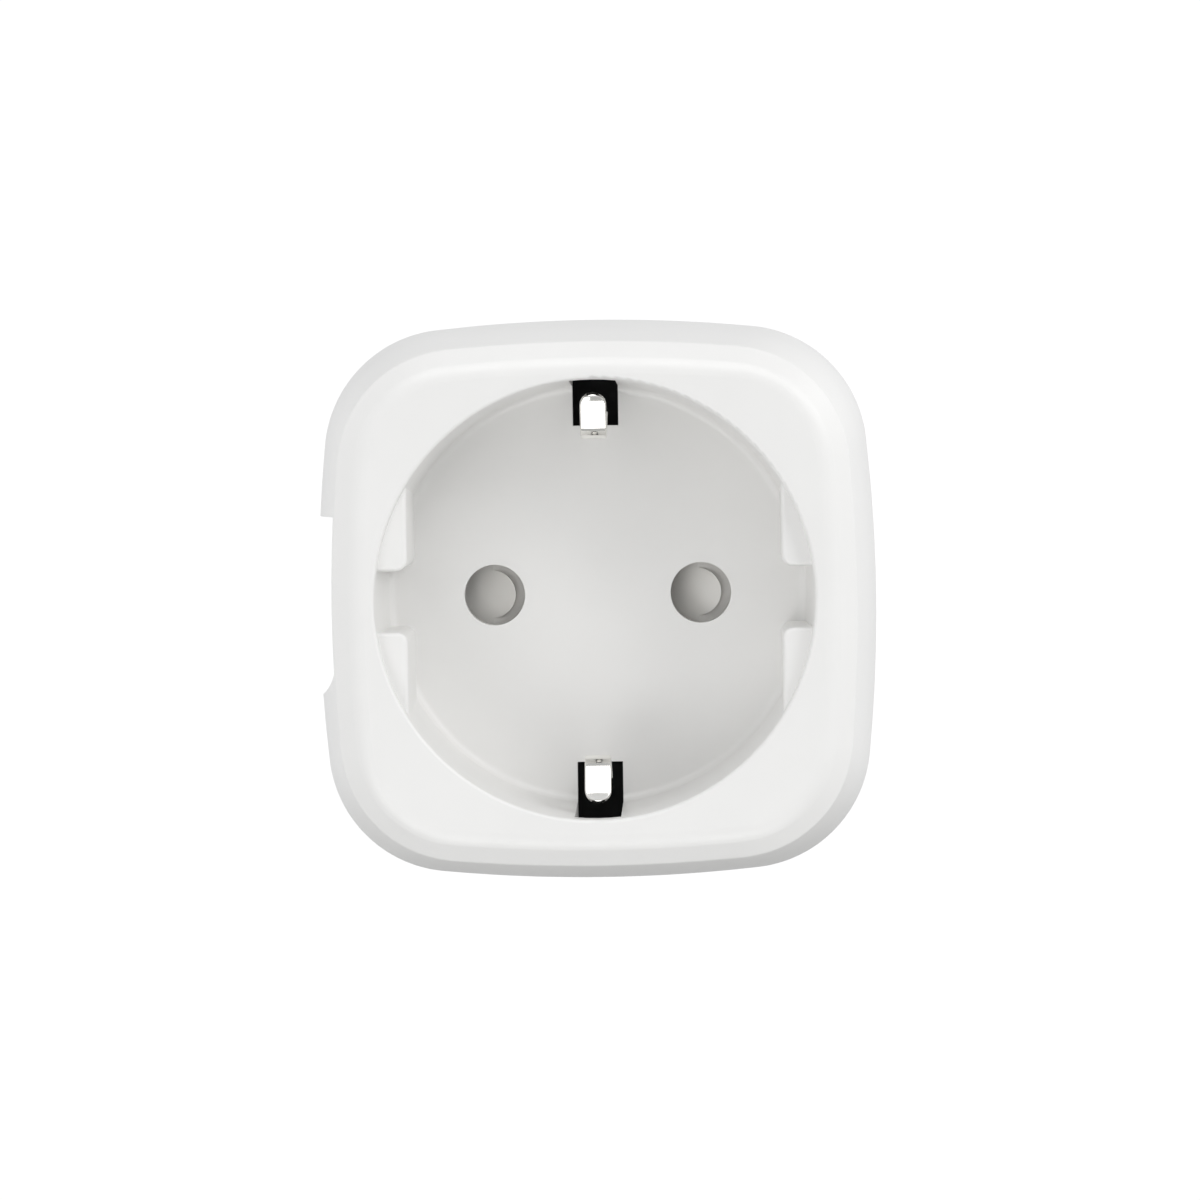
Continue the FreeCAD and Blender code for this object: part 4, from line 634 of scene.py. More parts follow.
def make_button():
    """A pill cap with a softly dished face, an inset ring line, and a flange behind the wall."""
    piece, low, high = start_piece("power_button")
    centre = (low + high) / 2
    flange_half = (high - low) / 2
    reach = 1.1
    wide = flange_half.y - reach
    tall = flange_half.z - reach
    flange_front = high.x - 0.7
    rows = [(high.x, reach), (high.x - 0.08, reach), (flange_front, reach), (flange_front, 0.0)]
    rings = [pill_ring(x, centre, wide + grow, tall + grow) for x, grow in rows]
    for x, y in quarter_turn(6):
        rings.append(pill_ring(low.x + 0.5 - 0.5 * y, centre, wide - 0.5 + 0.5 * x, tall - 0.5 + 0.5 * x))
    for inset, sink in ((0.75, 0.0), (0.8, 0.06), (0.95, 0.06), (1.0, 0.0), (1.3, 0.05), (1.7, 0.11),
                        (2.2, 0.15), (wide - 0.02, 0.16)):
        rings.append(pill_ring(low.x + sink, centre, wide - inset, tall - inset))
    add_rings(piece, rings)
    finish_piece(piece, "power_button_cap", ["button_plastic"], ["power_button"], 40, body="power_button")


def make_light_pipe():
    piece, low, high = start_piece("light_pipe")
    radius = (high.z - low.z) / 2
    length = high.x - low.x
    at = Vector((low.x, (low.y + high.y) / 2, (low.z + high.z) / 2))
    dome = [(radius * y, 0.25 * (1 - x)) for x, y in quarter_turn(6)]
    add_lathe(piece, dome + [(radius, 1.6), (radius * 0.86, 1.8), (radius * 0.86, length - 0.15),
                             (radius * 0.7, length)], at, X_AXIS, segments=32)
    finish_piece(piece, "light_pipe_lens", ["clear_plastic"], ["light_pipe"])


# ---- earth contacts

# Paths as (height above the wall, reach from the middle), as in the CAD model.
CLIP_PATH = [(14.85, 17.6), (22.0, 17.6), (31.6, 14.25), (33.6, 18.5)]
CLIP_BENDS = [4.0, 1.7]
STRIP_PATH = [(14.7, 17.6), (3.6, 17.6), (0.6, 16.7), (-13.6, 16.7), (-15.2, 15.9)]
STRIP_BENDS = [1.2, 1.2, 1.2]
STRIP_THICKNESS = 0.6
CLIP_HALF = 1.2
CLIP_NECK_HALF = 0.75
CLIP_NECK_END = 25.0
STRIP_HALF = 1.8


def split_run(path, height):
    """Two close points added to a path where it passes a height above the wall."""
    for i, (first, second) in enumerate(zip(path, path[1:])):
        if -first.y < height < -second.y:
            extra = [first.lerp(second, (height + step + first.y) / (first.y - second.y))
                     for step in (-0.02, 0.02)]
            return path[:i + 1] + extra + path[i + 1:]
    return path


def make_earth_contacts():
    """The sprung clips of the socket, with rounded tips, and the strips of the plug."""
    for place, sign in (("top", 1), ("bottom", -1)):
        clip = new_piece()
        path = fold([(0, -height, sign * reach) for height, reach in CLIP_PATH], CLIP_BENDS, 14)
        path = split_run(path, CLIP_NECK_END)
        path, widths = round_tip(path, CLIP_HALF)
        widths = [CLIP_NECK_HALF / CLIP_HALF if -point.y < CLIP_NECK_END else width
                  for point, width in zip(path, widths)]
        add_sweep(clip, path, flat_section(CLIP_HALF, STRIP_THICKNESS), 0, X_AXIS, widths)
        finish_piece(clip, f"earth_clip_{place}_blade", ["nickel"], [f"earth_clip_{place}"], 50,
                     body=f"clip_{place}")
        strip = new_piece()
        path = fold([(0, -height, sign * reach) for height, reach in STRIP_PATH], STRIP_BENDS, 8)
        add_sweep(strip, path, flat_section(STRIP_HALF, STRIP_THICKNESS), 0, X_AXIS)
        finish_piece(strip, f"earth_strip_{place}_blade", ["nickel"], [f"earth_strip_{place}"], 50)


def make_earth_socket():
    """Two sprung half sleeves with flared mouths on a closed base, and their lead."""
    piece, low, high = start_piece("earth_pin_socket")
    outer = (high.x - low.x) / 2
    at = Vector(((low.x + high.x) / 2, low.y, (low.z + high.z) / 2))
    length = high.y - low.y
    inner = outer - 0.9
    base = length - 6.9
    wall = [(inner, base), (inner, length - 0.9), (outer - 0.4, length), (outer, length),
            (inner + 0.55, length - 1.3), (inner + 0.55, base)]
    add_lathe(piece, [(0, 0), (outer - 0.3, 0), (outer, 0.3), (outer, base), (inner, base), (inner, 1.0),
                      (0, 1.0)], at, Y_AXIS)
    for start in (6, 186):
        add_sector(piece, wall, at, Y_AXIS, start, start + 168, 0, 20)
    finish_piece(piece, "earth_pin_sleeve", ["nickel"], ["earth_pin_socket"])
    piece, low, high = start_piece("earth_socket_lead")
    half = STRIP_THICKNESS / 2
    rise = 13.4
    corners = [(0, high.y - half, low.z), (0, high.y - half, rise), (0, low.y + half, rise),
               (0, low.y + half, high.z)]
    add_sweep(piece, fold(corners, [0.5, 0.5], 6), flat_section((high.x - low.x) / 2, STRIP_THICKNESS), 0,
              X_AXIS)
    finish_piece(piece, "earth_lead_strip", ["brass"], ["earth_socket_lead"], 50)


WIRE_HALF_ROUTE = [(0.6, 16.4), (9.0, 15.3), (15.4, 10.0)]
WIRE_BEND = 2.6
WIRE_Y = -12.2
WIRE_RADIUS = 0.85
WIRE_BARE = 1.6


def make_earth_wire():
    """The insulated wire between the earth strips, with its bare stranded ends."""
    half = [Vector((x, WIRE_Y, z)) for x, z in WIRE_HALF_ROUTE]
    route = half + [Vector((point.x, point.y, -point.z)) for point in reversed(half)]
    ends = [(route[1] - route[0]).normalized(), (route[-2] - route[-1]).normalized()]
    covered = [route[0] + ends[0] * WIRE_BARE] + route[1:-1] + [route[-1] + ends[1] * WIRE_BARE]
    piece = new_piece()
    sides = 20
    faces = add_sweep(piece, fold(covered, [WIRE_BEND] * (len(covered) - 2), 8),
                      round_section(WIRE_RADIUS, sides))
    paint([face for i, face in enumerate(faces[:-2]) if i % sides in (0, 1, 2, 3, 10, 11, 12, 13)], 2)
    strand = WIRE_RADIUS * 0.28
    for tip, ahead in zip((route[0], route[-1]), ends):
        across = Y_AXIS
        up = ahead.cross(across)
        for i in range(7):
            turn = 2 * pi * i / 6
            out = Vector() if i == 6 else (across * cos(turn) + up * sin(turn)) * strand * 2
            path = [tip + out * 0.8 + ahead * 0.1, tip + out + ahead * WIRE_BARE / 2,
                    tip + out + ahead * (WIRE_BARE + 0.3)]
            add_sweep(piece, path, round_section(strand, 8), 1)
    finish_piece(piece, "earth_wire_insulated", ["earth_green", "copper", "earth_yellow"], ["earth_wire"], 50)


# ---- pins and contacts

PIN_ROOT_RADIUS = 2.0
PIN_ROOT_LENGTH = 8.0
PIN_DOME = 1.6


def make_plug_pins():
    """Solid pins with a domed tip, and a grooved root that the plastic grips."""
    for name in ("live_pin", "neutral_pin"):
        piece, low, high = start_piece(name)
        radius = (high.x - low.x) / 2
        length = high.y - low.y
        at = Vector(((low.x + high.x) / 2, low.y, (low.z + high.z) / 2))
        profile = [(0, 0), (PIN_ROOT_RADIUS - 0.2, 0), (PIN_ROOT_RADIUS, 0.2)]
        for i in range(3):
            start = 2.2 + 1.8 * i
            profile += [(PIN_ROOT_RADIUS, start), (PIN_ROOT_RADIUS - 0.25, start + 0.25),
                        (PIN_ROOT_RADIUS - 0.25, start + 0.75), (PIN_ROOT_RADIUS, start + 1.0)]
        profile += [(PIN_ROOT_RADIUS, PIN_ROOT_LENGTH), (radius - 0.15, PIN_ROOT_LENGTH),
                    (radius, PIN_ROOT_LENGTH + 0.15)]
        profile += [(radius - PIN_DOME * (1 - x), length - PIN_DOME * (1 - y)) for x, y in quarter_turn(10)]
        profile.append((0, length))
        add_lathe(piece, profile, at, Y_AXIS, 0, 64)
        finish_piece(piece, f"{name}_turned", ["pin_nickel"], [name])


def make_straps():
    """The bent brass straps from the pins' roots to the main board."""
    for name in ("live_strap", "neutral_strap"):
        piece, low, high = start_piece(name)
        x = (low.x + high.x) / 2
        thickness = 0.8
        half = thickness / 2
        corners = [(x, high.y - half, low.z), (x, high.y - half, high.z - half), (x, low.y, high.z - half)]
        add_sweep(piece, fold(corners, [0.7], 8), flat_section((high.x - low.x) / 2, thickness), 0, X_AXIS)
        add_lathe(piece, [(0, 0), (1.3, 0), (1.5, 0.12), (1.3, 0.3), (0, 0.34)],
                  (x, low.y + 10.8, 0), -Y_AXIS, 1, 32)
        finish_piece(piece, f"{name}_bent", ["brass", "tin"], [name], 50)


def make_contacts():
    """Four sprung fingers with flared mouths on a foot that is soldered to the board."""
    for name in ("live_contact", "neutral_contact"):
        piece, low, high = start_piece(name)
        middle = (low + high) / 2
        at = Vector((middle.x, high.y, middle.z))
        length = high.y - low.y
        inner = 2.5
        outer = inner + 0.5
        base = 3.0
        wall = [(inner, base), (inner - 0.15, length * 0.7), (inner, length - 1.2),
                (inner + 0.5, length - 0.1),
                (inner + 0.8, length - 0.1), (outer, length - 1.6), (outer - 0.15, length * 0.7),
                (outer, base)]
        add_box(piece, (low.x, high.y - 0.8, low.z), (high.x, high.y, high.z), 0.15)
        add_sector(piece, [(inner, 0.6), (outer, 0.6), (outer, base), (inner, base)], at, -Y_AXIS, 0, 352, 0,
                   44)
        for quarter in range(4):
            add_sector(piece, wall, at, -Y_AXIS, 90 * quarter + 8, 90 * quarter + 82, 0, 12)
        add_leads(piece, [(middle.x + x, middle.z + z) for x in (-3.4, 3.4) for z in (-2.9, 2.9)],
                  high.y - 0.3, 0, 0.45)
        finish_piece(piece, f"{name}_fingers", ["brass"], [name])


# ---- shutter spring

SPRING_WIRE = 0.15
SPRING_COIL = 0.85


def make_spring():
    """A compression spring with closed ends, which the shutter presses as it slides; the coil keeps one
    length.
    """
    piece, low, high = start_piece("shutter_spring")
    length = high.x - low.x - 2 * SPRING_WIRE
    middle = (low + high) / 2
    turns = 12
    steps = 26
    path = []
    for step in range(turns * steps + 1):
        share = step / (turns * steps)
        closed = 0.09
        if share < closed:
            along = share * 0.35
        elif share > 1 - closed:
            along = 1 - (1 - share) * 0.35
        else:
            along = closed * 0.35 + (share - closed) * (1 - 2 * closed * 0.35) / (1 - 2 * closed)
        turn = 2 * pi * turns * share
        path.append(Vector((low.x + SPRING_WIRE + along * length,
                            middle.y + SPRING_COIL * cos(turn), middle.z + SPRING_COIL * sin(turn))))
    add_sweep(piece, path, round_section(SPRING_WIRE, 8))
    spring = finish_piece(piece, "shutter_spring_coil", ["spring_steel"], ["shutter_spring"], 60)
    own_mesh(spring)


# ---- control board

SWITCH_WELL_RADIUS = 1.05
SWITCH_WELL_DEPTH = 1.2


def make_tact_switch():
    """A square switch: moulded base, metal cover with four rivets, side legs and a domed plunger."""
    piece, low, high = start_piece("tact_switch_case")
    middle = (low + high) / 2
    half = (high.z - low.z) / 2
    well = low.x + SWITCH_WELL_DEPTH

    def square_ring(x, hole=None, inset=0.0):
        turns = [pi * i / 20 for i in range(40)]
        reaches = [hole or (half - inset) / max(abs(cos(turn)), abs(sin(turn))) for turn in turns]
        return [Vector((x, middle.y + cos(turn) * reach, middle.z + sin(turn) * reach))
                for turn, reach in zip(turns, reaches)]

    add_rings(piece, [square_ring(high.x), square_ring(low.x + 0.45),
                      square_ring(low.x + 0.45, SWITCH_WELL_RADIUS), square_ring(well, SWITCH_WELL_RADIUS)])
    cover = [square_ring(low.x + 0.5, 1.1), square_ring(low.x + 0.15, 1.1),
             square_ring(low.x + 0.15, None, 0.15),
             square_ring(low.x + 0.25, None, 0.05), square_ring(low.x + 0.5, None, 0.05)]
    add_rings(piece, cover + cover[:1], 1, caps=False)
    for y in (-1, 1):
        for z in (-1, 1):
            rivet = Vector((low.x + 0.16, middle.y + y * (half - 0.6), middle.z + z * (half - 0.6)))
            add_lathe(piece, [(0.38, 0), (0.32, 0.1), (0, 0.15)], rivet, -X_AXIS, 0, 16)
            foot = [Vector((high.x - 0.5, middle.y + y * (half - 0.02), middle.z + z * 1.3)),
                    Vector((high.x - 0.12, middle.y + y * (half - 0.02), middle.z + z * 1.3))]
            add_sweep(piece, foot, flat_section(0.3, 0.2, 0.05), 2, Z_AXIS)
    finish_piece(piece, "tact_switch_body", ["black_plastic", "zinc_steel", "tin"], ["tact_switch_case"])
    piece, low, high = start_piece("tact_switch_plunger")
    middle = (low + high) / 2
    radius = (high.z - low.z) / 2
    add_lathe(piece, [(0, 0), (radius * 0.6, 0.02), (radius * 0.88, 0.1), (radius, 0.28), (radius, 0.6),
                      (radius * 0.94, 0.62), (radius * 0.94, high.x - low.x), (0, high.x - low.x)],
              (low.x, middle.y, middle.z), X_AXIS, 0, 32)
    finish_piece(piece, "tact_switch_button", ["black_plastic"], ["tact_switch_plunger"],
                 body="switch_plunger")


def make_status_led():
    piece, low, high = start_piece("status_led")
    add_box(piece, (low.x + 0.3, low.y, low.z + 0.15), (high.x, high.y, high.z - 0.15), 0.06, 1)
    add_box(piece, (low.x, low.y + 0.12, low.z + 0.45), (low.x + 0.4, high.y - 0.12, high.z - 0.45), 0.1, 0,
            3)
    for z in (low.z, high.z - 0.3):
        add_box(piece, (high.x - 0.4, low.y + 0.1, z), (high.x, high.y - 0.1, z + 0.3), 0.05, 2)
    finish_piece(piece, "status_led_chip", ["led_lens", "ceramic_white", "tin"], ["status_led"])


def make_radio_parts():
    """The radio's shield with its embossed lid and tabs, the ceramic antenna and the header."""
    piece, low, high = start_piece("radio_shield")
    add_box(piece, low, (high.x - 0.12, high.y, high.z), 0.35, 0, 3)
    add_box(piece, (high.x - 0.3, low.y + 0.9, low.z + 0.9), (high.x, high.y - 0.9, high.z - 0.9), 0.12, 0)
    for i in range(5):
        z = low.z + 1.6 + 2.2 * i
        for y in (low.y, high.y - 0.06):
            add_box(piece, (low.x + 0.1, y, z - 0.4), (low.x + 0.9, y + 0.06, z + 0.4), 0.02, 1)
    add_lathe(piece, [(0.45, 0.0), (0.4, -0.1), (0.0, -0.12)], (high.x, high.y - 2.2, low.z + 2.2),
              X_AXIS, 0, 20)
    finish_piece(piece, "radio_shield_can", ["nickel", "tin"], ["radio_shield"])
    piece, low, high = start_piece("chip_antenna")
    add_box(piece, (low.x, low.y + 0.7, low.z), (high.x, high.y - 0.7, high.z), 0.1)
    for start in (low.y, high.y - 0.75):
        add_box(piece, (low.x, start, low.z), (high.x, start + 0.75, high.z), 0.12, 1)
    for i in range(3):
        y = low.y + 1.5 + 1.05 * i
        add_box(piece, (high.x - 0.05, y, low.z + 0.1), (high.x, y + 0.35, high.z - 0.1), 0.015, 1)
    finish_piece(piece, "chip_antenna_body", ["ceramic_white", "tin"], ["chip_antenna"])
    piece, low, high = start_piece("board_header")
    count = 8
    pitch = (high.z - low.z) / count
    for i in range(count):
        z = low.z + pitch * (i + 0.5)
        add_box(piece, (low.x, low.y, z - pitch / 2 + 0.02), (high.x, high.y, z + pitch / 2 - 0.02), 0.22)
        middle_x = (low.x + high.x) / 2
        add_box(piece, (middle_x - 0.25, low.y, z - 0.25), (middle_x + 0.25, BOARD_BACK_Y + 0.6, z + 0.25),
                0.06, 1)
    finish_piece(piece, "board_header_pins", ["black_plastic", "gold"], ["board_header"])


# ---- main board

def make_relay():
    """A sealed relay: glossy case with a stepped base, moulded rib and board pins."""
    piece, low, high = start_piece("relay")
    add_box(piece, (low.x, low.y + 1.1, low.z), high, 0.7, 0, 4)
    add_box(piece, (low.x + 0.2, low.y + 0.25, low.z + 0.2), (high.x - 0.2, low.y + 1.4, high.z - 0.2), 0.2,
            1)
    for x in (low.x + 0.6, high.x - 1.4):
        for z in (low.z + 0.6, high.z - 1.4):
            add_box(piece, (x, low.y, z), (x + 0.8, low.y + 0.4, z + 0.8), 0.1, 1)
    add_box(piece, (low.x + 1.6, high.y - 0.12, low.z + 1.6), (high.x - 1.6, high.y, low.z + 2.0), 0.05, 0)
    add_lathe(piece, [(0.7, -0.1), (0.7, 0.0), (0.45, 0.0), (0.4, -0.25), (0, -0.25)],
              (high.x - 2.2, high.y, high.z - 2.2), Y_AXIS, 0, 24)
    add_leads(piece, [(low.x + 1.6, low.z + 2.0), (high.x - 1.6, low.z + 2.0), (low.x + 1.6, high.z - 2.0),
                      (high.x - 1.6, high.z - 2.0), (0, high.z - 5.0)], low.y + 0.4, 2, 0.4,
                      BOARD_FRONT_Y - 0.6)
    finish_piece(piece, "relay_case_sealed", ["relay_case", "black_plastic", "tin"], ["relay"])


def make_bulk_capacitors():
    """Two electrolytic cans: sleeve with a crimp, scored aluminium top and rubber bung."""
    piece, low, high = start_piece("bulk_capacitors")
    radius = (high.z - low.z) / 2
    length = high.y - low.y
    for x in (low.x + radius, high.x - radius):
        at = Vector((x, high.y, (low.z + high.z) / 2))
        sleeve = [(0, 0.25), (radius - 0.7, 0.25), (radius - 0.5, 0), (radius - 0.15, 0.1), (radius, 0.35),
                  (radius, 1.1), (radius - 0.3, 1.45), (radius - 0.3, 1.75), (radius, 2.1),
                  (radius, length - 0.5), (radius - 0.12, length - 0.12), (radius - 0.5, length),
                  (radius - 0.75, length - 0.08), (radius - 0.75, length - 0.3), (0, length - 0.3)]
        add_lathe(piece, sleeve, at, -Y_AXIS, 0, 56)
        for quarter in range(4):
            add_sector(piece, [(0.12, length - 0.3), (radius - 0.9, length - 0.3),
                               (radius - 0.9, length - 0.18),
                               (radius - 1.1, length - 0.14), (0.12, length - 0.14)], at, -Y_AXIS,
                       90 * quarter + 3, 90 * quarter + 87, 1, 10)
        add_lathe(piece, [(0, 0.05), (radius - 0.9, 0.05), (radius - 0.75, 0.28), (0, 0.28)], at, -Y_AXIS, 2,
                  40)
        add_sector(piece, [(radius - 0.02, 2.4), (radius, 2.4), (radius, length - 0.8),
                           (radius - 0.02, length - 0.8)], at, -Y_AXIS, 200, 240, 3, 10)
        add_leads(piece, [(x - 1.25, at.z), (x + 1.25, at.z)], high.y - 0.05, 4, 0.3)
    finish_piece(piece, "bulk_capacitor_cans",
                 ["capacitor_sleeve", "aluminium", "rubber", "ceramic_white", "tin"], ["bulk_capacitors"])


def make_film_capacitor():
    """A box capacitor: moulded case with corner stand-offs, potting resin and two leads."""
    piece, low, high = start_piece("film_capacitor")
    add_box(piece, low, (high.x, high.y - 0.3, high.z), 0.35, 0, 3)
    add_box(piece, (low.x + 0.5, high.y - 0.6, low.z + 0.5), (high.x - 0.5, high.y - 0.22, high.z - 0.5), 0.1,
            1)
    for x in (low.x + 0.15, high.x - 0.95):
        for z in (low.z + 0.15, high.z - 0.95):
            add_box(piece, (x, high.y - 0.6, z), (x + 0.8, high.y, z + 0.8), 0.08, 0)
    z = (low.z + high.z) / 2
    add_leads(piece, [(low.x + 1.25, z), (high.x - 1.25, z)], high.y - 0.4, 2, 0.3)
    finish_piece(piece, "film_capacitor_box", ["film_capacitor_case", "ferrite", "tin"], ["film_capacitor"])


def make_varistor():
    """A dipped disc with a rounded rim, whose coating runs a little way down its leads."""
    piece, low, high = start_piece("varistor")
    middle = (low + high) / 2
    half = (high.x - low.x) / 2
    radius = (high.z - low.z) / 2
    steps = 12
    profile = [(0, -half * 0.86), (radius * 0.35, -half * 0.88), (radius * 0.6, -half)]
    for i in range(steps + 1):
        turn = -pi / 2 + pi * i / steps
        profile.append((radius - half * (1 - cos(turn)) * 0.9, half * sin(turn)))
    profile += [(radius * 0.6, half), (radius * 0.35, half * 0.88), (0, half * 0.86)]
    add_lathe(piece, profile, middle, X_AXIS, 0, 64)
    for x, z in ((-0.9, -2.5), (0.9, 2.5)):
        top = Vector((middle.x + x, high.y - 1.6, middle.z + z))
        add_lathe(piece, [(0.75, 0), (0.62, 0.9), (0.42, 1.45), (0.3, 1.55)], top, Y_AXIS, 0, 20)
        add_leads(piece, [(top.x, top.z)], top.y + 1.0, 1, 0.28)
    finish_piece(piece, "varistor_disc_dipped", ["varistor_coat", "tin"], ["varistor"], 60)


def make_inductor():
    """A ferrite drum wound with enamelled wire."""
    piece, low, high = start_piece("filter_inductor")
    middle = (low + high) / 2
    radius = (high.x - low.x) / 2
    length = high.y - low.y
    flange = 1.0
    at = Vector((middle.x, high.y, middle.z))
    core = [(0, 0.1), (radius - 0.3, 0.1), (radius, 0.35), (radius, flange - 0.15), (radius - 0.2, flange),
            (radius * 0.55, flange), (radius * 0.55, length - flange), (radius - 0.2, length - flange),
            (radius, length - flange + 0.15), (radius, length - 0.25), (radius - 0.25, length), (0.9, length),
            (0.7, length - 0.2), (0, length - 0.2)]
    add_lathe(piece, core, at, -Y_AXIS, 0, 48)
    wire = 0.19
    turns = int((length - 2 * flange) / (2 * wire))
    steps = 28
    path = []
    for step in range(turns * steps + 1):
        turn = 2 * pi * step / steps
        reach = radius * 0.82
        along = flange + wire + (length - 2 * flange - 2 * wire) * step / (turns * steps)
        path.append(at + Vector((reach * cos(turn), -along, reach * sin(turn))))
    add_sweep(piece, path, round_section(wire, 8), 1)
    add_leads(piece, [(middle.x - 1.6, middle.z), (middle.x + 1.6, middle.z)], high.y - 0.2, 2, 0.3)
    finish_piece(piece, "filter_inductor_wound", ["ferrite", "copper", "tin"], ["filter_inductor"], 50)


def make_fuse_resistor():
    """A lacquered fusible resistor with bulged ends, colour bands and bent leads."""
    piece, low, high = start_piece("fuse_resistor")
    middle = (low + high) / 2
    radius = (high.x - low.x) / 2
    length = high.z - low.z
    at = Vector((middle.x, middle.y, low.z))
    waist = radius * 0.84
    profile = [(0, 0), (radius * 0.5, 0.02), (radius * 0.85, 0.25), (radius, 0.7), (radius, 1.3),
               (waist, 1.9),
               (waist, length - 1.9), (radius, length - 1.3), (radius, length - 0.7),
               (radius * 0.85, length - 0.25),
               (radius * 0.5, length - 0.02), (0, length)]
    add_lathe(piece, profile, at, Z_AXIS, 0, 40)
    for start, finish in ((2.2, 1), (3.1, 2), (4.0, 1), (4.9, 3)):
        add_lathe(piece, [(waist * 0.9, start), (waist + 0.02, start), (waist + 0.02, start + 0.5),
                          (waist * 0.9, start + 0.5)], at, Z_AXIS, finish, 40)
    for z, ahead in ((low.z + 0.2, -1), (high.z - 0.2, 1)):
        corners = [(middle.x, middle.y, z), (middle.x, middle.y, z + ahead * 0.95),
                   (middle.x, BOARD_BACK_Y + LEAD_END, z + ahead * 0.95)]
        add_sweep(piece, fold(corners, [0.5], 6), round_section(0.28, 10), 4)
        joints_on_boards.append((middle.x, z + ahead * 0.95, True))
    finish_piece(piece, "fuse_resistor_body",
                 ["fuse_coat", "band_brown", "ceramic_white", "band_gold", "tin"], ["fuse_resistor"], 50)


def add_gull_wing(piece, root, out, foot_y, finish):
    """One flat chip leg: out of the body, down, and along the board."""
    drop = Vector((0, foot_y - root.y, 0))
    corners = [root, root + out * 0.35, root + out * 0.5 + drop, root + out * 1.0 + drop]
    add_sweep(piece, fold(corners, [0.12, 0.12], 3), flat_section(0.2, 0.15, 0.04), finish, Z_AXIS)


def make_chips():
    """Two eight-legged chips on the plug side of the board, and the four-legged bridge."""
    for name in ("converter_chip", "metering_chip"):
        piece, low, high = start_piece(name)
        body_low = Vector((low.x + 0.75, low.y + 0.15, low.z))
        body_high = Vector((high.x - 0.75, high.y, high.z))
        add_box(piece, body_low, body_high, 0.12)
        add_lathe(piece, [(0.32, 0.0), (0.28, -0.08), (0, -0.1)],
                  (body_low.x + 0.6, body_high.y + 0.001, body_low.z + 0.6), Y_AXIS, 2, 20)
        for i in range(4):
            z = low.z + (high.z - low.z) * (i + 0.5) / 4
            for x, side in ((body_low.x, -1), (body_high.x, 1)):
                add_gull_wing(piece, Vector((x - side * 0.2, (body_low.y + body_high.y) / 2, z)),
                              X_AXIS * side * 0.9, low.y + 0.08, 1)
        finish_piece(piece, f"{name}_package", ["black_plastic", "tin", "ferrite"], [name])
    piece, low, high = start_piece("bridge_rectifier")
    add_box(piece, (low.x + 0.6, low.y, low.z), (high.x - 0.6, high.y - 0.15, high.z), 0.16, 0, 3)
    add_box(piece, (low.x + 0.9, low.y, low.z + 0.4), (low.x + 1.2, low.y + 0.05, high.z - 0.4), 0.02, 2)
    for z in (low.z + 1.0, high.z - 1.0):
        for x, side in ((low.x + 0.6, -1), (high.x - 0.6, 1)):
            add_gull_wing(piece, Vector((x - side * 0.2, (low.y + high.y) / 2, z)), X_AXIS * side * 0.75,
                          high.y - 0.08, 1)
    finish_piece(piece, "bridge_rectifier_package", ["black_plastic", "tin", "ceramic_white"],
                 ["bridge_rectifier"])


def make_shunt():
    """A current shunt: a flat bridge of resistance metal between two soldered feet."""
    piece, low, high = start_piece("current_shunt")
    z = (low.z + high.z) / 2
    half = (high.z - low.z) / 2
    top = high.y - 0.12
    floor = low.y + 0.12
    corners = [(low.x, floor, z), (low.x + 0.9, floor, z), (low.x + 1.2, top, z), (high.x - 1.2, top, z),
               (high.x - 0.9, floor, z), (high.x, floor, z)]
    add_sweep(piece, fold(corners, [0.15] * 4, 4), flat_section(half - 0.1, 0.22, 0.06), 0, Z_AXIS)
    for x in (low.x + 0.1, high.x - 1.0):
        add_box(piece, (x, low.y, low.z + 0.02), (x + 0.9, low.y + 0.16, high.z - 0.02), 0.06, 1)
    finish_piece(piece, "current_shunt_bridge", ["shunt_metal", "tin"], ["current_shunt"])


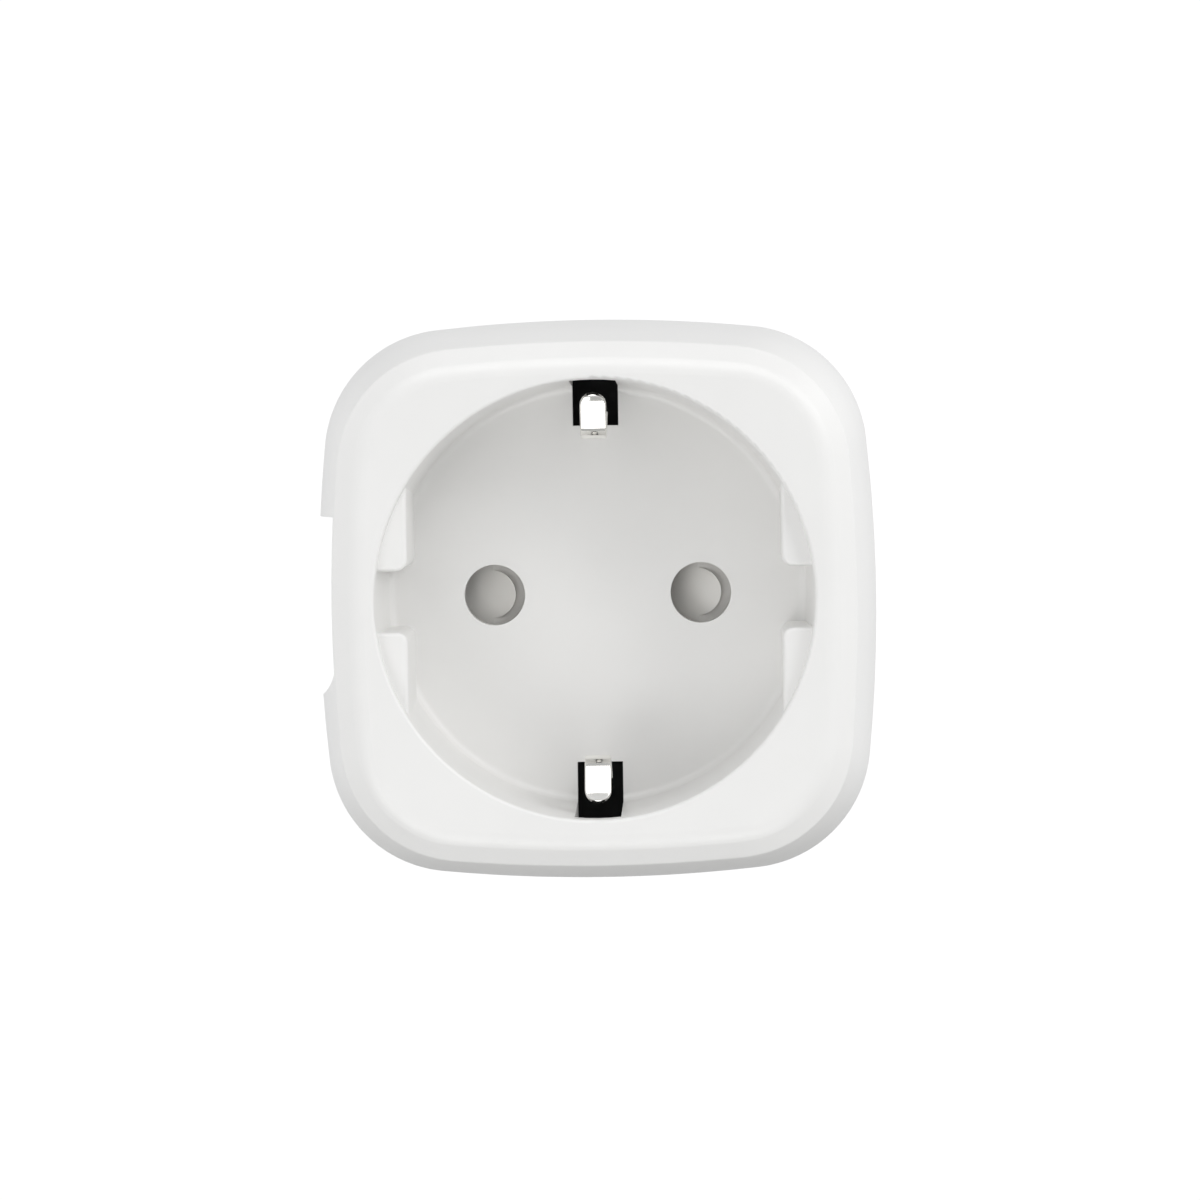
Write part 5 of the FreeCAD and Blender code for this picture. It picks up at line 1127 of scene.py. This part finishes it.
# Chip resistors, in millimetres: (x, z) on the main board, (height above the wall, z) on the control board.
MAIN_CHIPS = [(-3.2, 9.2), (-1.2, 9.2), (0.8, 9.2), (4.5, 9.4), (6.5, 9.4), (13.0, 6.5), (13.0, 4.0),
              (13.0, 1.5), (-13.6, 4.6), (-13.6, 2.0), (-13.6, -2.4), (13.4, -3.2), (13.4, -5.6)]
CONTROL_CHIPS = [(5.6, 9.2), (5.6, 7.4), (8.4, 9.2), (8.4, 7.4), (11.6, -10.6), (11.6, -8.6), (6.0, -10.6),
                 (8.6, -10.6), (12.4, 5.8), (12.4, 3.6)]


def add_chip_resistor(piece, middle, long_axis, thin_axis):
    """A chip resistor: a dark ceramic slab with two tinned ends."""
    wide_axis = long_axis.cross(thin_axis)
    for start, stop, grow, finish in ((-0.5, 0.5, 0.0, 0), (-0.62, -0.38, 0.02, 1), (0.38, 0.62, 0.02, 1)):
        spans = long_axis * (stop - start) + wide_axis * (0.62 + grow) + thin_axis * (0.4 + grow)
        half = Vector([abs(value) / 2 for value in spans])
        centre = middle + long_axis * (start + stop) / 2
        add_box(piece, centre - half, centre + half, 0.04, finish)


def make_small_parts():
    """Chip resistors on both boards, and the solder joints of the leaded parts."""
    piece = new_piece()
    for x, z in MAIN_CHIPS:
        add_chip_resistor(piece, Vector((x, BOARD_BACK_Y + 0.2, z)), Z_AXIS, Y_AXIS)
    face = node_box("control_board")[0].x
    for height, z in CONTROL_CHIPS:
        add_chip_resistor(piece, Vector((face - 0.2, -height, z)), Z_AXIS, X_AXIS)
    finish_piece(piece, "chip_resistors", ["ferrite", "tin"], slot="circuit_board")
    piece = new_piece()
    for x, z, from_room in joints_on_boards:
        at = Vector((x, BOARD_BACK_Y - 0.02 if from_room else BOARD_FRONT_Y + 0.02, z))
        add_lathe(piece, [(0.78, 0), (0.66, 0.12), (0.42, 0.34), (0.36, 0.52), (0, 0.6)], at,
                  Y_AXIS if from_room else -Y_AXIS, 0, 20)
    finish_piece(piece, "solder_joints", ["tin"], sharp=60, slot="nickel")


# ---- assembly

for make in (
        dress_kept_nodes, make_screws, make_button, make_light_pipe, make_earth_contacts,
        make_earth_socket, make_earth_wire, make_plug_pins, make_straps, make_contacts, make_spring,
        make_tact_switch, make_status_led, make_radio_parts, make_relay, make_bulk_capacitors,
        make_film_capacitor, make_varistor, make_inductor, make_fuse_resistor, make_chips, make_shunt,
        make_small_parts):
    make()
make_camera()
make_studio()
make_floor()
